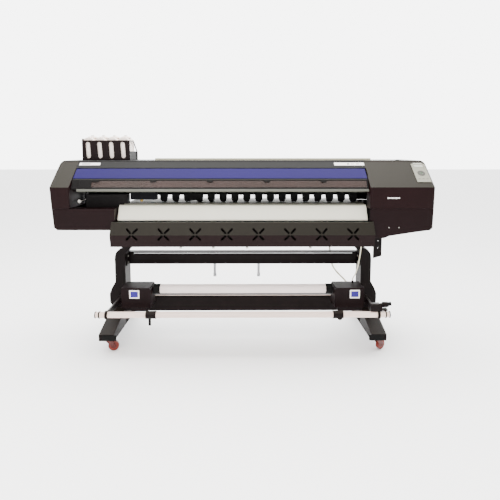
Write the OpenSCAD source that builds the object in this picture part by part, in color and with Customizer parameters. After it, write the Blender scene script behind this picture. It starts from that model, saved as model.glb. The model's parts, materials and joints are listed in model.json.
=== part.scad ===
// Wide-format printer cutter on a stand with a media take-up.
// The front faces -Y, +X is to the right, the floor is z = 0.

/* [Machine body] */
// Width over both end caps
body_w = 2640; // [2500:10:3100]
// Height of the slanted panel's upper edge above the floor
top_z = 1335; // [1320:5:1420]
// Height of the fold between the slanted panel and the front
fold_z = 1165; // [1150:5:1180]
// Height of the seam between upper and lower covers
seam_z = 1018; // [1012:1:1024]
// Underside of the lower covers
bottom_z = 870; // [860:1:872]
// Depth from the middle to the front of the end caps
front_reach = 340; // [335:1:342]
// Depth from the middle to the back of the covers
back_reach = 250; // [245:5:300]
// Where the flat top meets the slanted panel
top_front_reach = 130; // [120:1:135]
// Rise of the rounded edge from the slanted panel to the flat top
crown = 10; // [6:1:14]
// Width of the left end cap
left_cap_w = 130; // [125:5:240]
// Width of the right end cap, over the parked carriage
right_cap_w = 442; // [435:1:520]
// Narrowing of the left end cap below the fold
taper_left = 20; // [0:1:25]
// Narrowing of the right end cap below the fold
taper_right = 6; // [0:1:10]
// Wall of the moulded covers
cover_t = 3; // [2:0.5:4]
// Open seam between two covers
seam_gap = 1.5; // [1:0.5:3]

/* [Media path] */
// Height of the platen surface
platen_z = 1040; // [1038:1:1046]
// Radius of the grit roller
grit_r = 11.5; // [9:0.5:13]
// Radius of a pinch roller
pinch_r = 9; // [7:0.5:10]
// Distance between pinch rollers
pinch_pitch = 87; // [80:1:88]
// Number of pinch rollers
pinch_count = 17; // [10:1:17]
// Middle of the leftmost pinch roller
pinch_x0 = -581; // [-581:1:-560]
// Width of the front apron below the platen
apron_w = 1748; // [1700:2:1748]

/* [Carriages] */
// Width of the print carriage
carriage_w = 300; // [240:5:320]
// Width of the cutting carriage
cutter_w = 186; // [120:2:190]
// Middle of the parked cutting carriage
cutter_x = -715; // [-722:1:-690]
// Radius of the toothed belt's pitch line
belt_r = 12; // [10:0.5:14]

/* [Lid] */
// Length of the coloured band, measured down the slope
band_l = 101; // [90:1:110]
// Angle of the smoked visor from level
visor_angle = 63; // [58:1:68]
// Height of the smoked visor along its own plane
visor_l = 54; // [48:1:58]

/* [Dryer] */
// Length of the dryer across the machine
dryer_w = 1800; // [1600:10:1900]
// Number of crossed vents
vent_count = 8; // [4:1:9]
// Distance between two vents
vent_pitch = 215; // [190:1:216]
// Radius of the blower rotor
blower_r = 20; // [15:1:22]

/* [Ink station] */
// Number of ink tanks
tank_count = 4; // [2:1:4]
// Distance between two tanks
tank_pitch = 86; // [82:1:92]
// Width of one tank
tank_w = 76; // [60:1:78]
// Height of one tank
tank_h = 162; // [140:1:180]

/* [Stand] */
// Distance from the middle to a column's inner face
leg_in = 897; // [880:1:900]
// Width of a column
leg_w = 78; // [70:1:82]
// Depth of a column
leg_d = 150; // [130:1:160]
// Wall of the tubes
tube_t = 4; // [3:0.5:6]
// Length of a foot from front to back
foot_l = 748; // [700:2:760]
// Width of a foot
foot_w = 107; // [100:1:112]
// Underside of the feet
foot_z = 88; // [88:1:94]
// Radius of a caster wheel
caster_r = 37; // [32:1:38]
// Width of a caster wheel
caster_w = 24; // [18:1:28]
// Distance from the swivel to the wheel's axle
caster_trail = 36; // [28:1:42]

/* [Take-up] */
// Height of the take-up spindle
takeup_z = 420; // [410:1:430]
// Radius of the wound media
roll_r = 32.5; // [30:0.5:60]
// Length of the wound media
roll_w = 1196; // [1000:2:1200]
// Width of a take-up box
box_w = 205; // [180:1:206]
// Radius of the tension bar
bar_r = 21; // [15:0.5:25]
// Length of the tension bar
bar_w = 1966; // [1940:2:1990]
// Length of a tension arm from pivot to bar
arm_l = 330; // [310:1:335]

/* [Fits] */
// Radial clearance of a turning or sliding fit
run = 0.05; // [0.03:0.01:0.08]
// Gap between pieces that move past each other
free = 0.4; // [0.3:0.1:1]

/* [Hidden] */
$fn = 48;

// Main places of the body
hx = body_w / 2;
left_in = -hx + left_cap_w;
right_in = hx - right_cap_w;
front_y = -front_reach;
back_y = back_reach;
top_y = -top_front_reach;
slant = atan2(top_z - fold_z, top_y - front_y);
slant_l = norm([top_z - fold_z, top_y - front_y]);
corner_r = 28;
crown_z = top_z + crown;
crown_y = top_y + 12;
knee_y = top_y + 4;
knee_z = top_z + crown * 0.6;

// Chassis
base_front = -220;
base_back = 230;
base_z0 = bottom_z + 4;
base_z1 = platen_z - 40;
base_t = 6;
frame_t = 8;
beam_z0 = platen_z + 86;
beam_z1 = platen_z + 222;
beam_y = 50;
beam_t = 6;
frame_l = left_in + 14;
frame_r = hx - 58;
guide_z = platen_z + 160;
guide_h = 20;
guide_d = 12;

// Feed
grit_y = -100;
grit_z = platen_z + 0.5 - grit_r;
pinch_z = grit_z + grit_r + free + pinch_r;
pivot_y = -40;
pivot_z = platen_z + 52;
pivot_r = 6;
pin_r = 3;
pinch_w = 30;
pinch_last = pinch_x0 + (pinch_count - 1) * pinch_pitch;
platen_x0 = left_in + 345;
platen_x1 = right_in - 8;
wide_at = 2;
lever_x = left_in + 38;
lever_y = -70;
lever_z = platen_z + 20;
lever_l = 180;
lever_pin_r = 5;
motor_r = 26;
module_h = 66;

// Carriages
carriage_x = right_in + 60 + carriage_w / 2;
carriage_front = -232;
carriage_back = -84;
head_gap = 2.5;
pulley_r = belt_r - 0.8;
belt_t = 1.6;
belt_z = platen_z + 204;
belt_y0 = -66;
belt_w = 10;
drive_x = hx - 36;
idler_x = left_in + 40;
blade_r = 8;
blade_y = -160;
post_r = 4;

// Lid, in the frame of the slanted panel
hinge_l = 70;
strip_w = hinge_l - 4;
hinge_d = 1.5;
hinge_pin = 2;
hinge_sleeve = 3.4;
band_at = hinge_l + 5;
lid_gap = 6;
lid_x0 = left_in + lid_gap;
lid_x1 = right_in - lid_gap;
band_t = 4;
frame_d = 14;
strip_l = 14;
trim_l = 17;
visor_in = 54;
hinge_count = 6;
hinge_pitch = (lid_x1 - lid_x0 - 200) / (hinge_count - 1);

// Dryer outline, front to back
dryer_back = front_y - 4;
dryer_top_y = front_y - 22;
dryer_fold_y = front_y - 70;
dryer_low_y = front_y - 55;
dryer_z1 = 928;
dryer_fold_z = 846;
dryer_z0 = 764;
dryer_t = 2.5;
blower_y = front_y - 37;
blower_z = 846;
blade_n = 14;

// Ink station
ink_x0 = left_in - 5;
ink_front = -40;
tray_t = 4;
tray_d = 236;
tank_d = 170;
ink_w = tank_count * tank_pitch - tank_pitch + tank_w + 6;
tank_x0 = ink_x0 + tray_t + 3 + tank_w / 2;

// Control panel, in the frame of the slanted panel
panel_x = hx - 57;
panel_w = 98;
panel_at = 26;
panel_l = 192;
panel_t = 4;
key_at = 128;
enter_r = 9;
nav_r0 = 12;
nav_r1 = 26;

// Stand
leg_out = leg_in + leg_w;
leg_front = -60;
leg_back = leg_front + leg_d;
foot_mid = leg_in + 6 + foot_w / 2;
foot_tip_h = 45;
foot_mid_h = 134;
neck_in = leg_in - 47;
neck_out = leg_in + 18;
plate_out = leg_out - 2;
bolt_xs = [neck_in - 25, neck_out + 34];
bolt_ys = [-120, 165];
plate_t = 8;
caster_y = foot_l / 2 - 44;
stem_r = 8;
stem_l = 24;
fork_t = 4;
upper_z0 = 537;
upper_z1 = 633;
lower_z0 = 215;
lower_z1 = 330;
lower_front = -120;
lower_back = -40;

// Take-up
takeup_y = -230;
box_in = 650;
box_out = box_in + box_w;
box_front = -330;
box_back = -170;
box_z0 = 312;
box_z1 = 455;
journal_r = 12;
hub_r = 36;
core_r = 26;
plug_l = 32;
plug_gap = 0.2;
arm_x = leg_in + 24;
arm_t = 14;
arm_y = -100;
arm_z = 300;
bar_y = arm_y - arm_l;
boss_r = 34;
pivot_pin_r = 10;
arm_end_r = 29;
collar_w = 70;
collar_xs = [-662, 617];

// Rear supply
supply_y = 370;
supply_z = 742;
supply_reach = 85;
flange_r = 60;

// Cable routes
bundle_d = 13;
single_d = 8;
gland_l = 16;
bundle_route = [
  [690, 150, 858], [690, 150, 830], [690, 150, 790], [691, 149, 740], [692, 147, 690], [694, 143, 640],
  [697, 136, 590], [702, 124, 545], [709, 104, 512], [718, 74, 490], [728, 38, 476], [739, -2, 466],
  [749, -42, 459], [758, -80, 453], [766, -112, 446], [770, -136, 442], [770, -154, 442]
];
single_route = [
  [866, -185, 858], [866, -185, 830], [866, -185, 790], [865, -186, 745], [861, -187, 700],
  [855, -189, 655], [848, -191, 610], [839, -193, 568], [829, -195, 535], [820, -197, 512],
  [809, -199, 496], [802, -200, 484], [802, -200, 470]
];

// ---------- shared shapes ----------

// Box from its two opposite corners
module block(a, b) { translate(a) cube(b - a); }

// Outline given in [y, z], drawn along X
module along_x(x0, x1) { translate([x0, 0, 0]) rotate([90, 0, 90]) linear_extrude(x1 - x0) children(); }

// Outline given in [x, z], drawn along Y
module along_y(y0, y1) { translate([0, y1, 0]) rotate([90, 0, 0]) linear_extrude(y1 - y0) children(); }

// Round bars along each axis
module rod_x(x0, x1, y, z, r) { translate([x0, y, z]) rotate([0, 90, 0]) cylinder(h = x1 - x0, r = r); }
module rod_y(y0, y1, x, z, r) { translate([x, y1, z]) rotate([90, 0, 0]) cylinder(h = y1 - y0, r = r); }
module rod_z(z0, z1, x, y, r) { translate([x, y, z0]) cylinder(h = z1 - z0, r = r); }

// Frame whose -Y runs down the slanted panel and whose +Z points out of it
module on_slant() { translate([0, top_y, top_z]) rotate([slant, 0, 0]) children(); }

// Frame whose -Y runs down the visor and whose +Z points out of it
visor_at = band_at + band_l + 20;
visor_y = top_y - visor_at * cos(slant);
visor_z = top_z - visor_at * sin(slant);
module on_visor() { translate([0, visor_y, visor_z]) rotate([visor_angle, 0, 0]) children(); }

// Box on both sides of the middle
module both() { children(); mirror([1, 0, 0]) children(); }

// Side outline of an end cap, drawn in by i, from height z0 up
function cap_side(i, z0) = [
  [back_y - i, z0], [front_y + i, z0],
  [front_y + i, fold_z - i * tan((90 - slant) / 2)],
  [top_y + i * sin(slant), top_z - i * cos(slant)], [knee_y + i * 0.8, knee_z - i * 0.6],
  [crown_y + i * 0.3, crown_z - i], [back_y - i, crown_z - i]
];

// Front outline of an end cap, with the outer edge at +X
function edge_x(z, taper) = hx - taper * max(0, fold_z - z) / (fold_z - bottom_z);
function cap_front(x_in, i, z0, taper) = concat(
  [[x_in, z0], [edge_x(z0, taper) - i, z0], [hx - i, fold_z]],
  [for (a = [0 : 15 : 90]) [hx - corner_r + (corner_r - i) * cos(a), crown_z - corner_r + (corner_r - i) * sin(a)]],
  [[x_in, crown_z - i]]
);

// Upper end cap, outer end at +X
module cap_upper_shell(x_in, taper) {
  z0 = seam_z + seam_gap / 2;
  difference() {
    intersection() {
      along_x(x_in, hx + 1) polygon(cap_side(0, z0));
      along_y(front_y - 1, back_y + 1) polygon(cap_front(x_in, 0, z0, taper));
    }
    intersection() {
      along_x(x_in + cover_t, hx + 1) polygon(cap_side(cover_t, z0 - 1));
      along_y(front_y - 1, back_y + 1) polygon(cap_front(x_in + cover_t, cover_t, z0 - 1, taper));
    }
  }
}

// ---------- stand ----------

// Welded leg: column, neck, top plate and foot, drawn on the right
module leg() {
  plate_z1 = base_z0;
  z1 = plate_z1 - plate_t;
  arc_r = 60;
  difference() {
    union() {
      along_y(leg_front, leg_back) polygon(concat(
        [[leg_in, foot_z + 60], [leg_out, foot_z + 60], [leg_out, 600]],
        [for (a = [15 : 15 : 90]) [leg_out - arc_r + arc_r * cos(a), 600 + 80 * sin(a)]],
        [[neck_out, 690], [neck_out, z1], [neck_in, z1], [neck_in, 690], [leg_in, 640]]
      ));
      block([neck_in - 50, -150, z1], [plate_out, 200, plate_z1]);
      along_x(foot_mid - foot_w / 2, foot_mid + foot_w / 2) polygon([
        [-foot_l / 2, foot_z], [-foot_l / 2, foot_z + foot_tip_h], [leg_front, foot_z + foot_mid_h],
        [leg_back, foot_z + foot_mid_h], [foot_l / 2, foot_z + foot_tip_h], [foot_l / 2, foot_z]
      ]);
    }
    block([leg_in + tube_t, leg_front + tube_t, foot_z + tube_t], [leg_out - tube_t, leg_back - tube_t, 596]);
    block([neck_in + tube_t, leg_front + tube_t, 694], [neck_out - tube_t, leg_back - tube_t, z1 - tube_t]);
    for (s = [-1, 1])
      along_x(foot_mid - foot_w / 2 + tube_t, foot_mid + foot_w / 2 - tube_t) polygon([
        [s * (caster_y - 30), foot_z + tube_t], [s * (caster_y - 30), foot_z + foot_tip_h],
        [s * 100, foot_z + foot_mid_h - 24], [s * 100, foot_z + tube_t]
      ]);
    for (s = [-1, 1]) rod_z(foot_z - 1, foot_z + stem_l + 2, foot_mid, s * caster_y, stem_r + run);
    for (x = bolt_xs) for (y = bolt_ys) rod_z(z1 - 1, plate_z1 + 1, x, y, 5.5);
  }
  along_y(leg_front, leg_front + 60) polygon([
    [leg_out - 1, 425], [leg_out + 30, 370], [leg_out + 46, 330], [leg_out + 46, 262], [leg_out + 30, 236], [leg_out - 1, 228]
  ]);
  rod_x(leg_in, arm_x - free, arm_y, arm_z, boss_r);
  block([leg_in, arm_y, arm_z - boss_r], [arm_x - free, leg_front + 1, arm_z + boss_r]);
  rod_x(arm_x - free - 1, arm_x + arm_t + 4, arm_y, arm_z, pivot_pin_r);
}
module leg_left() { color("#2b2422") mirror([1, 0, 0]) leg(); }
module leg_right() { color("#2b2422") leg(); }

// Tube between the columns with a plate at each end
module crossbeam(y0, y1, z0, z1, plate_y0, plate_y1) {
  difference() {
    block([-leg_in, y0, z0], [leg_in, y1, z1]);
    block([-leg_in + 12, y0 + tube_t, z0 + tube_t], [leg_in - 12, y1 - tube_t, z1 - tube_t]);
  }
  both() block([leg_in - 8, plate_y0, z0], [leg_in, plate_y1, z1]);
}
module upper_crossbeam() { color("#2b2422") crossbeam(30, leg_back, upper_z0, upper_z1, -30, leg_back); }
module lower_crossbeam() {
  color("#2b2422") crossbeam(lower_front, lower_back, lower_z0, lower_z1, lower_front, 40);
}

// Hexagon heads under the top plates and on the beam ends
module stand_bolts() {
  z1 = base_z0 - plate_t;
  color("#8a8a8a") both() {
    for (x = bolt_xs) for (y = bolt_ys) {
      translate([x, y, z1 - 7]) cylinder(h = 7, r = 9, $fn = 6);
      rod_z(z1 - 1, base_z0, x, y, 5);
    }
    for (z = [upper_z0 + 24, upper_z1 - 24])
      translate([leg_in - 14, 0, z]) rotate([0, 90, 0]) cylinder(h = 6, r = 8, $fn = 6);
    for (z = [lower_z0 + 24, lower_z1 - 24])
      translate([leg_in - 14, 10, z]) rotate([0, 90, 0]) cylinder(h = 6, r = 8, $fn = 6);
  }
}

// Two hanging rods with soft tips under the upper beam
module hanger_rods() {
  color("#8d8b86") for (x = [-225, 120]) {
    rod_z(upper_z0 - 6, upper_z0, x, 60, 14);
    rod_z(456, upper_z0 - 6, x, 60, 10);
    rod_z(430, 456, x, 60, 12.5);
  }
}

// Swivel fork, with its stem at the origin and the wheel behind it along -Y
module fork() {
  side = caster_w / 2 + 1.5;
  rod_z(foot_z - 4, foot_z + stem_l, 0, 0, stem_r);
  rod_z(foot_z - 8, foot_z - free, 0, 0, 28);
  for (x = [-side - fork_t, side]) along_x(x, x + fork_t) polygon([
    [-20, foot_z - 6], [caster_trail - 8, foot_z - 6], [caster_trail + 11, caster_r - 8], [caster_trail - 11, caster_r - 8]
  ]);
  rod_x(-side - fork_t - 3, side + fork_t + 3, caster_trail, caster_r, 5);
}

// Wheel on the fork's axle
module wheel() {
  difference() {
    union() {
      rod_x(-caster_w / 2, caster_w / 2, caster_trail, caster_r, caster_r - 2);
      rod_x(-caster_w / 2 + 3, caster_w / 2 - 3, caster_trail, caster_r, caster_r);
    }
    rod_x(-caster_w, caster_w, caster_trail, caster_r, 5 + run);
  }
}

// Places and resting turns of the casters: front left, front right, rear left, rear right
caster_at = [[-foot_mid, -caster_y], [foot_mid, -caster_y], [-foot_mid, caster_y], [foot_mid, caster_y]];
caster_turn = [-78, -54, 62, -70];
module at_caster(i) { translate([caster_at[i][0], caster_at[i][1], 0]) rotate([0, 0, caster_turn[i]]) children(); }
module caster_fork_fl() { color("#8f1f1c") at_caster(0) fork(); }
module caster_fork_fr() { color("#8f1f1c") at_caster(1) fork(); }
module caster_fork_rl() { color("#8f1f1c") at_caster(2) fork(); }
module caster_fork_rr() { color("#8f1f1c") at_caster(3) fork(); }
module caster_wheel_fl() { color("#c0504a") at_caster(0) wheel(); }
module caster_wheel_fr() { color("#c0504a") at_caster(1) wheel(); }
module caster_wheel_rl() { color("#c0504a") at_caster(2) wheel(); }
module caster_wheel_rr() { color("#c0504a") at_caster(3) wheel(); }

// ---------- chassis and feed ----------

// Folded steel chassis with an end frame at each side of the beam
module machine_base() {
  x1 = hx - 66;
  x0 = -hx + 66;
  color("#4a4a4c") {
    difference() {
      block([x0, base_front, base_z0], [x1, base_back, base_z1]);
      for (x = [x0 : (x1 - x0) / 4 : x1 - 1])
        block([x + base_t, base_front + base_t, base_z0 + base_t],
              [x + (x1 - x0) / 4 - base_t, base_back - base_t, base_z1 - base_t]);
    }
    for (x = [frame_l, frame_r]) difference() {
      block([x, -beam_y - 30, base_z1], [x + frame_t, beam_y + 20, beam_z1 + 14]);
      block([x - 1, -20, base_z1 + 20], [x + frame_t + 1, 40, beam_z0 - 16]);
      block([x - 1, belt_y0 - 4, belt_z - 18], [x + frame_t + 1, -beam_y - 1, belt_z + 18]);
    }
    rod_x(frame_l + frame_t - 1, lever_x + 8, lever_y, lever_z, lever_pin_r);
    for (x = [pinch_x0 - 272, platen_x1 + 3]) difference() {
      block([x, grit_y - 16, base_z1], [x + 6, grit_y + 16, grit_z + 9]);
      rod_x(x - 1, x + 7, grit_y, grit_z, post_r + run);
    }
    block([left_in + 70, -212, base_z1], [platen_x0 - 4, -150, platen_z + module_h]);
    block([platen_x0 - 5, -212, platen_z + 2], [cutter_x - cutter_w / 2 - 14, -150, platen_z + module_h]);
    for (x = [-110, 110]) rod_z(base_z1, platen_z - 6, carriage_x + x, -172, post_r);
    rod_z(base_z0 - gland_l, base_z0, bundle_route[0][0], bundle_route[0][1], 9);
    rod_z(base_z0 - gland_l, base_z0, single_route[0][0], single_route[0][1], 8);
  }
}

// Slotted vacuum platen
module platen() {
  color("#c9c9c4") difference() {
    block([platen_x0, -215, base_z1], [platen_x1, grit_y - 14.5, platen_z]);
    block([platen_x0 - 1, -209, base_z1 + 6], [platen_x1 + 1, grit_y - 20, platen_z - 7]);
    for (x = [platen_x0 + 60 : 110 : platen_x1 - 60]) block([x, -196, platen_z - 2], [x + 70, -190, platen_z + 1]);
    for (x = [platen_x0 + 60 : 110 : platen_x1 - 60]) block([x, -150, platen_z - 2], [x + 70, -144, platen_z + 1]);
  }
}

// Heated front apron, a bent sheet with closed ends
module front_apron() {
  t = 3;
  y0 = base_front - 3;
  lip_z = platen_z - 7;
  mid = (left_in + 318 + right_in - 6) / 2;
  color("#e6e2d4") difference() {
    along_x(mid - apron_w / 2, mid + apron_w / 2) polygon([
      [y0, lip_z], [y0 - 10, lip_z], [y0 - 22, lip_z - 6], [y0 - 30, lip_z - 18], [y0 - 78, 936], [y0 - 72, 928], [y0, 928]
    ]);
    along_x(mid - apron_w / 2 + t, mid + apron_w / 2 - t) polygon([
      [y0 + 1, lip_z - t], [y0 - 10, lip_z - t], [y0 - 20, lip_z - 9], [y0 - 27, lip_z - 20], [y0 - 74, 937],
      [y0 - 71, 928 + t], [y0 - t, 928 + t], [y0 - t, 990], [y0 + 1, 990]
    ]);
  }
  color("#e6e2d4") for (x = [mid - 700, mid, mid + 700])
    block([x - 20, y0, 940], [x + 20, base_front, 980]);
}

// Rear apron: a flat guide that curves down behind the machine
module rear_apron() {
  t = 3;
  r = 90;
  yc = 170;
  y0 = grit_y + 14.5;
  outer = concat([[y0, platen_z - 2]], [for (a = [90 : -10 : 0]) [yc + r * cos(a), platen_z - 2 - r + r * sin(a)]], [[yc + r, 905]]);
  inner = concat([[yc + r - t, 905]], [for (a = [0 : 10 : 90]) [yc + (r - t) * cos(a), platen_z - 2 - r + (r - t) * sin(a)]], [[y0, platen_z - 2 - t]]);
  color("#b9b8b2") {
    along_x(platen_x0, platen_x1) polygon(concat(outer, inner));
    for (x = [platen_x0 + 40, 0, platen_x1 - 60]) block([x, 20, base_z1], [x + 20, 60, platen_z - 2 - t]);
  }
}

// Extruded beam with its guide rail, pulley pin and shaft hangers
module rail_beam() {
  color("#c4c6c8") {
    difference() {
      block([frame_l + frame_t, -beam_y, beam_z0], [frame_r, beam_y, beam_z1]);
      block([frame_l, -beam_y + beam_t, beam_z0 + beam_t], [frame_r + 1, beam_y - beam_t, beam_z1 - beam_t]);
    }
    block([frame_l + frame_t, -beam_y - guide_d, guide_z - guide_h / 2], [frame_r, -beam_y, guide_z + guide_h / 2]);
    rod_y(belt_y0 - 3, -beam_y, idler_x, belt_z, post_r);
    for (i = [0 : 5]) difference() {
      x = pinch_x0 + (round(i * pinch_count / 5) - 0.5) * pinch_pitch - 4;
      block([x, pivot_y - 10, pivot_z - 9], [x + 8, pivot_y + 10, beam_z0]);
      rod_x(x - 1, x + 9, pivot_y, pivot_z, pivot_r + run);
    }
  }
}

// Toothed belt loop round both pulleys
module drive_belt() {
  color("#1c1c1c") difference() {
    union() {
      for (x = [idler_x, drive_x]) rod_y(belt_y0, belt_y0 + belt_w, x, belt_z, belt_r + belt_t - 0.5);
      block([idler_x, belt_y0, belt_z - belt_r - belt_t + 0.5], [drive_x, belt_y0 + belt_w, belt_z + belt_r + belt_t - 0.5]);
    }
    for (x = [idler_x, drive_x]) rod_y(belt_y0 - 1, belt_y0 + belt_w + 1, x, belt_z, belt_r - 0.5);
    block([idler_x, belt_y0 - 1, belt_z - belt_r + 0.5], [drive_x, belt_y0 + belt_w + 1, belt_z + belt_r - 0.5]);
  }
}
module pulley(x) {
  difference() {
    union() {
      rod_y(belt_y0 + 1, belt_y0 + belt_w - 1, x, belt_z, pulley_r);
      rod_y(belt_y0 - 1.5, belt_y0 - 0.5, x, belt_z, belt_r + 3);
      rod_y(belt_y0 - 1, belt_y0 + 1.5, x, belt_z, pulley_r - 1);
    }
    rod_y(belt_y0 - 3, belt_y0 + belt_w + 1, x, belt_z, post_r + run);
  }
}
module drive_pulley() { color("#b8bcc0") pulley(drive_x); }
module idler_pulley() { color("#b8bcc0") pulley(idler_x); }

// Carriage motor, feed motor and take-up motor
module drive_motors() {
  color("#2e2e30") {
    rod_y(belt_y0 - 84, belt_y0 - 15, drive_x, belt_z, motor_r - 1);
    rod_y(belt_y0 - 16, belt_y0 + belt_w + 1, drive_x, belt_z, post_r);
    block([frame_r + frame_t, belt_y0 - 16, belt_z - motor_r], [drive_x + motor_r - 1, belt_y0 - 11, belt_z + motor_r]);
    difference() {
      rod_x(platen_x1 + 16, platen_x1 + 74, grit_y, grit_z, motor_r);
      rod_x(platen_x1 + 15, platen_x1 + 40, grit_y, grit_z, post_r + run);
    }
    block([platen_x1 + 22, grit_y - 14, base_z1], [platen_x1 + 66, grit_y + 14, grit_z - 20]);
    rod_x(box_in + 24, box_in + 96, takeup_y, takeup_z, motor_r);
    block([box_in + 30, takeup_y - 12, box_z0 + 4], [box_in + 90, takeup_y + 12, takeup_z - 20]);
  }
}

// Grit roller: raised bands on a shaft with thin journals
module grit_roller() {
  x0 = pinch_x0 - 255;
  x1 = platen_x1;
  color("#8c8f92") {
    rod_x(x0, x1, grit_y, grit_z, grit_r - 1.2);
    rod_x(x0 - 20, x1 + 36, grit_y, grit_z, post_r);
    for (i = [0 : pinch_count - 1])
      rod_x(pinch_x0 + i * pinch_pitch - 18, pinch_x0 + i * pinch_pitch + 18, grit_y, grit_z, grit_r);
  }
}

// Pivot shaft with an arm, an axle and a shield for each roller
module pinch_arms() {
  color("#1d1d1f") {
    rod_x(pinch_x0 - 60, pinch_last + 60, pivot_y, pivot_z, pivot_r);
    for (i = [0 : pinch_count - 1]) {
      x = pinch_x0 + i * pinch_pitch;
      for (s = [-1, 1])
        along_x(x + s * 18.5 - 1.5, x + s * 18.5 + 1.5) polygon([
          [pivot_y, pivot_z - 5], [pivot_y, pivot_z + 5], [grit_y - 18, pivot_z + 12], [grit_y - 18, pinch_z - 3],
          [grit_y + 4, pinch_z - 5]
        ]);
      rod_x(x - 19, x + 19, grit_y, pinch_z, pin_r);
      along_y(grit_y - 22, grit_y - 18) polygon([
        [x - 13, pinch_z - 4], [x - 23, pinch_z + 6], [x - 28, pinch_z + 18], [x - 28, pivot_z + 2], [x - 21, pivot_z + 12],
        [x + 21, pivot_z + 12], [x + 28, pivot_z + 2], [x + 28, pinch_z + 18], [x + 23, pinch_z + 6], [x + 13, pinch_z - 4]
      ]);
    }
    block([pinch_x0 + wide_at * pinch_pitch - 25, grit_y - 24, pinch_z + 4],
          [pinch_x0 + (wide_at + 1) * pinch_pitch + 25, grit_y - 22, pivot_z + 12]);
  }
}
module pinch_rollers() {
  color("#303032") for (i = [0 : pinch_count - 1]) difference() {
    rod_x(pinch_x0 + i * pinch_pitch - pinch_w / 2, pinch_x0 + i * pinch_pitch + pinch_w / 2, grit_y, pinch_z, pinch_r);
    rod_x(pinch_x0 + i * pinch_pitch - pinch_w, pinch_x0 + i * pinch_pitch + pinch_w, grit_y, pinch_z, pin_r + run);
  }
}

// Media loading lever with a round white knob
module loading_lever() {
  tip_y = lever_y - lever_l;
  color("#e4e2dc") {
    difference() {
      rod_x(lever_x - 6, lever_x + 6, lever_y, lever_z, 12);
      rod_x(lever_x - 7, lever_x + 7, lever_y, lever_z, lever_pin_r + run);
    }
    difference() {
      rod_y(tip_y, lever_y, lever_x, lever_z, 4);
      rod_x(lever_x - 7, lever_x + 7, lever_y, lever_z, 8);
    }
    translate([lever_x, tip_y, lever_z]) sphere(r = 13);
  }
}

// ---------- carriages ----------

// Side outline shared by both carriages, ending on the guide rail
module on_rail(y_front, z_low, z_front, z_top) {
  polygon([
    [grit_y - 30, z_low], [y_front, z_low], [y_front, z_front], [y_front + 60, z_top], [carriage_back, z_top],
    [carriage_back, guide_z + 26], [-beam_y - 3, guide_z + 26],
    [-beam_y - 3, guide_z + guide_h / 2 + free], [-beam_y - guide_d - free, guide_z + guide_h / 2 + free],
    [-beam_y - guide_d - free, guide_z - guide_h / 2 - free], [-beam_y - 3, guide_z - guide_h / 2 - free],
    [-beam_y - 3, guide_z - 26], [carriage_back, guide_z - 26], [carriage_back, beam_z0 + 6],
    [grit_y - 30, beam_z0 + 6]
  ]);
}
module print_carriage() {
  x0 = carriage_x - carriage_w / 2;
  x1 = carriage_x + carriage_w / 2;
  color("#37373a") difference() {
    along_x(x0, x1) on_rail(carriage_front, platen_z + 22, platen_z + 150, platen_z + 214);
    block([x0 + 6, carriage_front + 6, platen_z + 40], [x1 - 6, grit_y - 36, platen_z + 140]);
  }
}

// Print heads with their nozzle plates
module print_heads() {
  color("#9a9da0") for (i = [-1 : 1]) {
    x = carriage_x + i * 84;
    block([x - 30, -204, platen_z + head_gap + 2], [x + 30, -142, platen_z + 22]);
    block([x - 24, -198, platen_z + head_gap], [x + 24, -148, platen_z + head_gap + 2]);
  }
}
module cutter_carriage() {
  color("#2c2d3c") difference() {
    union() {
      along_x(cutter_x - cutter_w / 2, cutter_x + cutter_w / 2)
        on_rail(-190, platen_z + 26, platen_z + 130, platen_z + 180);
    }
    rod_z(platen_z + 20, platen_z + 100, cutter_x - 20, blade_y, blade_r + run);
  }
}
module blade_holder() {
  color("#b9a25a") {
    rod_z(platen_z + 16, platen_z + 90, cutter_x - 20, blade_y, blade_r);
    rod_z(platen_z + 12, platen_z + 21, cutter_x - 20, blade_y, blade_r + 3);
    rod_z(platen_z + 5, platen_z + 12, cutter_x - 20, blade_y, 2);
  }
}

// Lifting tray with a soft lip under each head
module cap_station() {
  z0 = base_z1 + 14;
  z1 = platen_z - 3;
  color("#3a3f42") difference() {
    union() {
      block([carriage_x - 130, -208, z0], [carriage_x + 130, -136, z0 + 14]);
      for (i = [-1 : 1]) block([carriage_x + i * 84 - 28, -202, z0 + 14], [carriage_x + i * 84 + 28, -144, z1]);
    }
    for (i = [-1 : 1]) block([carriage_x + i * 84 - 25, -199, z1 - 6], [carriage_x + i * 84 + 25, -147, z1 + 1]);
    for (x = [-110, 110]) rod_z(z0 - 1, z1 + 1, carriage_x + x, -172, post_r + run);
  }
}

// ---------- covers ----------

module left_cap_upper() { color("#5d5a50") mirror([1, 0, 0]) cap_upper_shell(-left_in, taper_left); }
module right_cap_upper() {
  color("#5d5a50") difference() {
    cap_upper_shell(right_in, taper_right);
    block([right_in - 1, -246, seam_z - 10], [right_in + cover_t + 1, 100, top_z - 46]);
  }
}

// Lower left cover: end wrap plus the fairing that reaches under the opening
module left_cap_lower() {
  z1 = seam_z - seam_gap / 2;
  fair_x = left_in + 307;
  module solid_form(i) {
    intersection() {
      block([-hx - 1, front_y + i, bottom_z + i], [fair_x - i, back_y - i, z1 + (i > 0 ? -i : 0)]);
      mirror([1, 0, 0]) along_y(front_y - 1, back_y + 1) polygon([
        [-fair_x, bottom_z], [edge_x(bottom_z, taper_left) - 22 - i, bottom_z],
        [edge_x(bottom_z, taper_left) - i, bottom_z + 18], [edge_x(z1, taper_left) - i, z1 + 2], [-fair_x, z1 + 2]
      ]);
    }
  }
  color("#3a2a28") difference() {
    solid_form(0);
    solid_form(cover_t);
    block([left_in, base_front - 18, bottom_z - 1], [fair_x + 1, back_y + 1, z1 + 1]);
    block([-hx + 30, front_y + cover_t, z1 - cover_t - 1], [left_in, back_y - cover_t, z1 + 1]);
    block([-hx + 50, base_front - 6, bottom_z - 1], [left_in + 1, back_y - cover_t, bottom_z + cover_t + 1]);
  }
}

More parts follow.
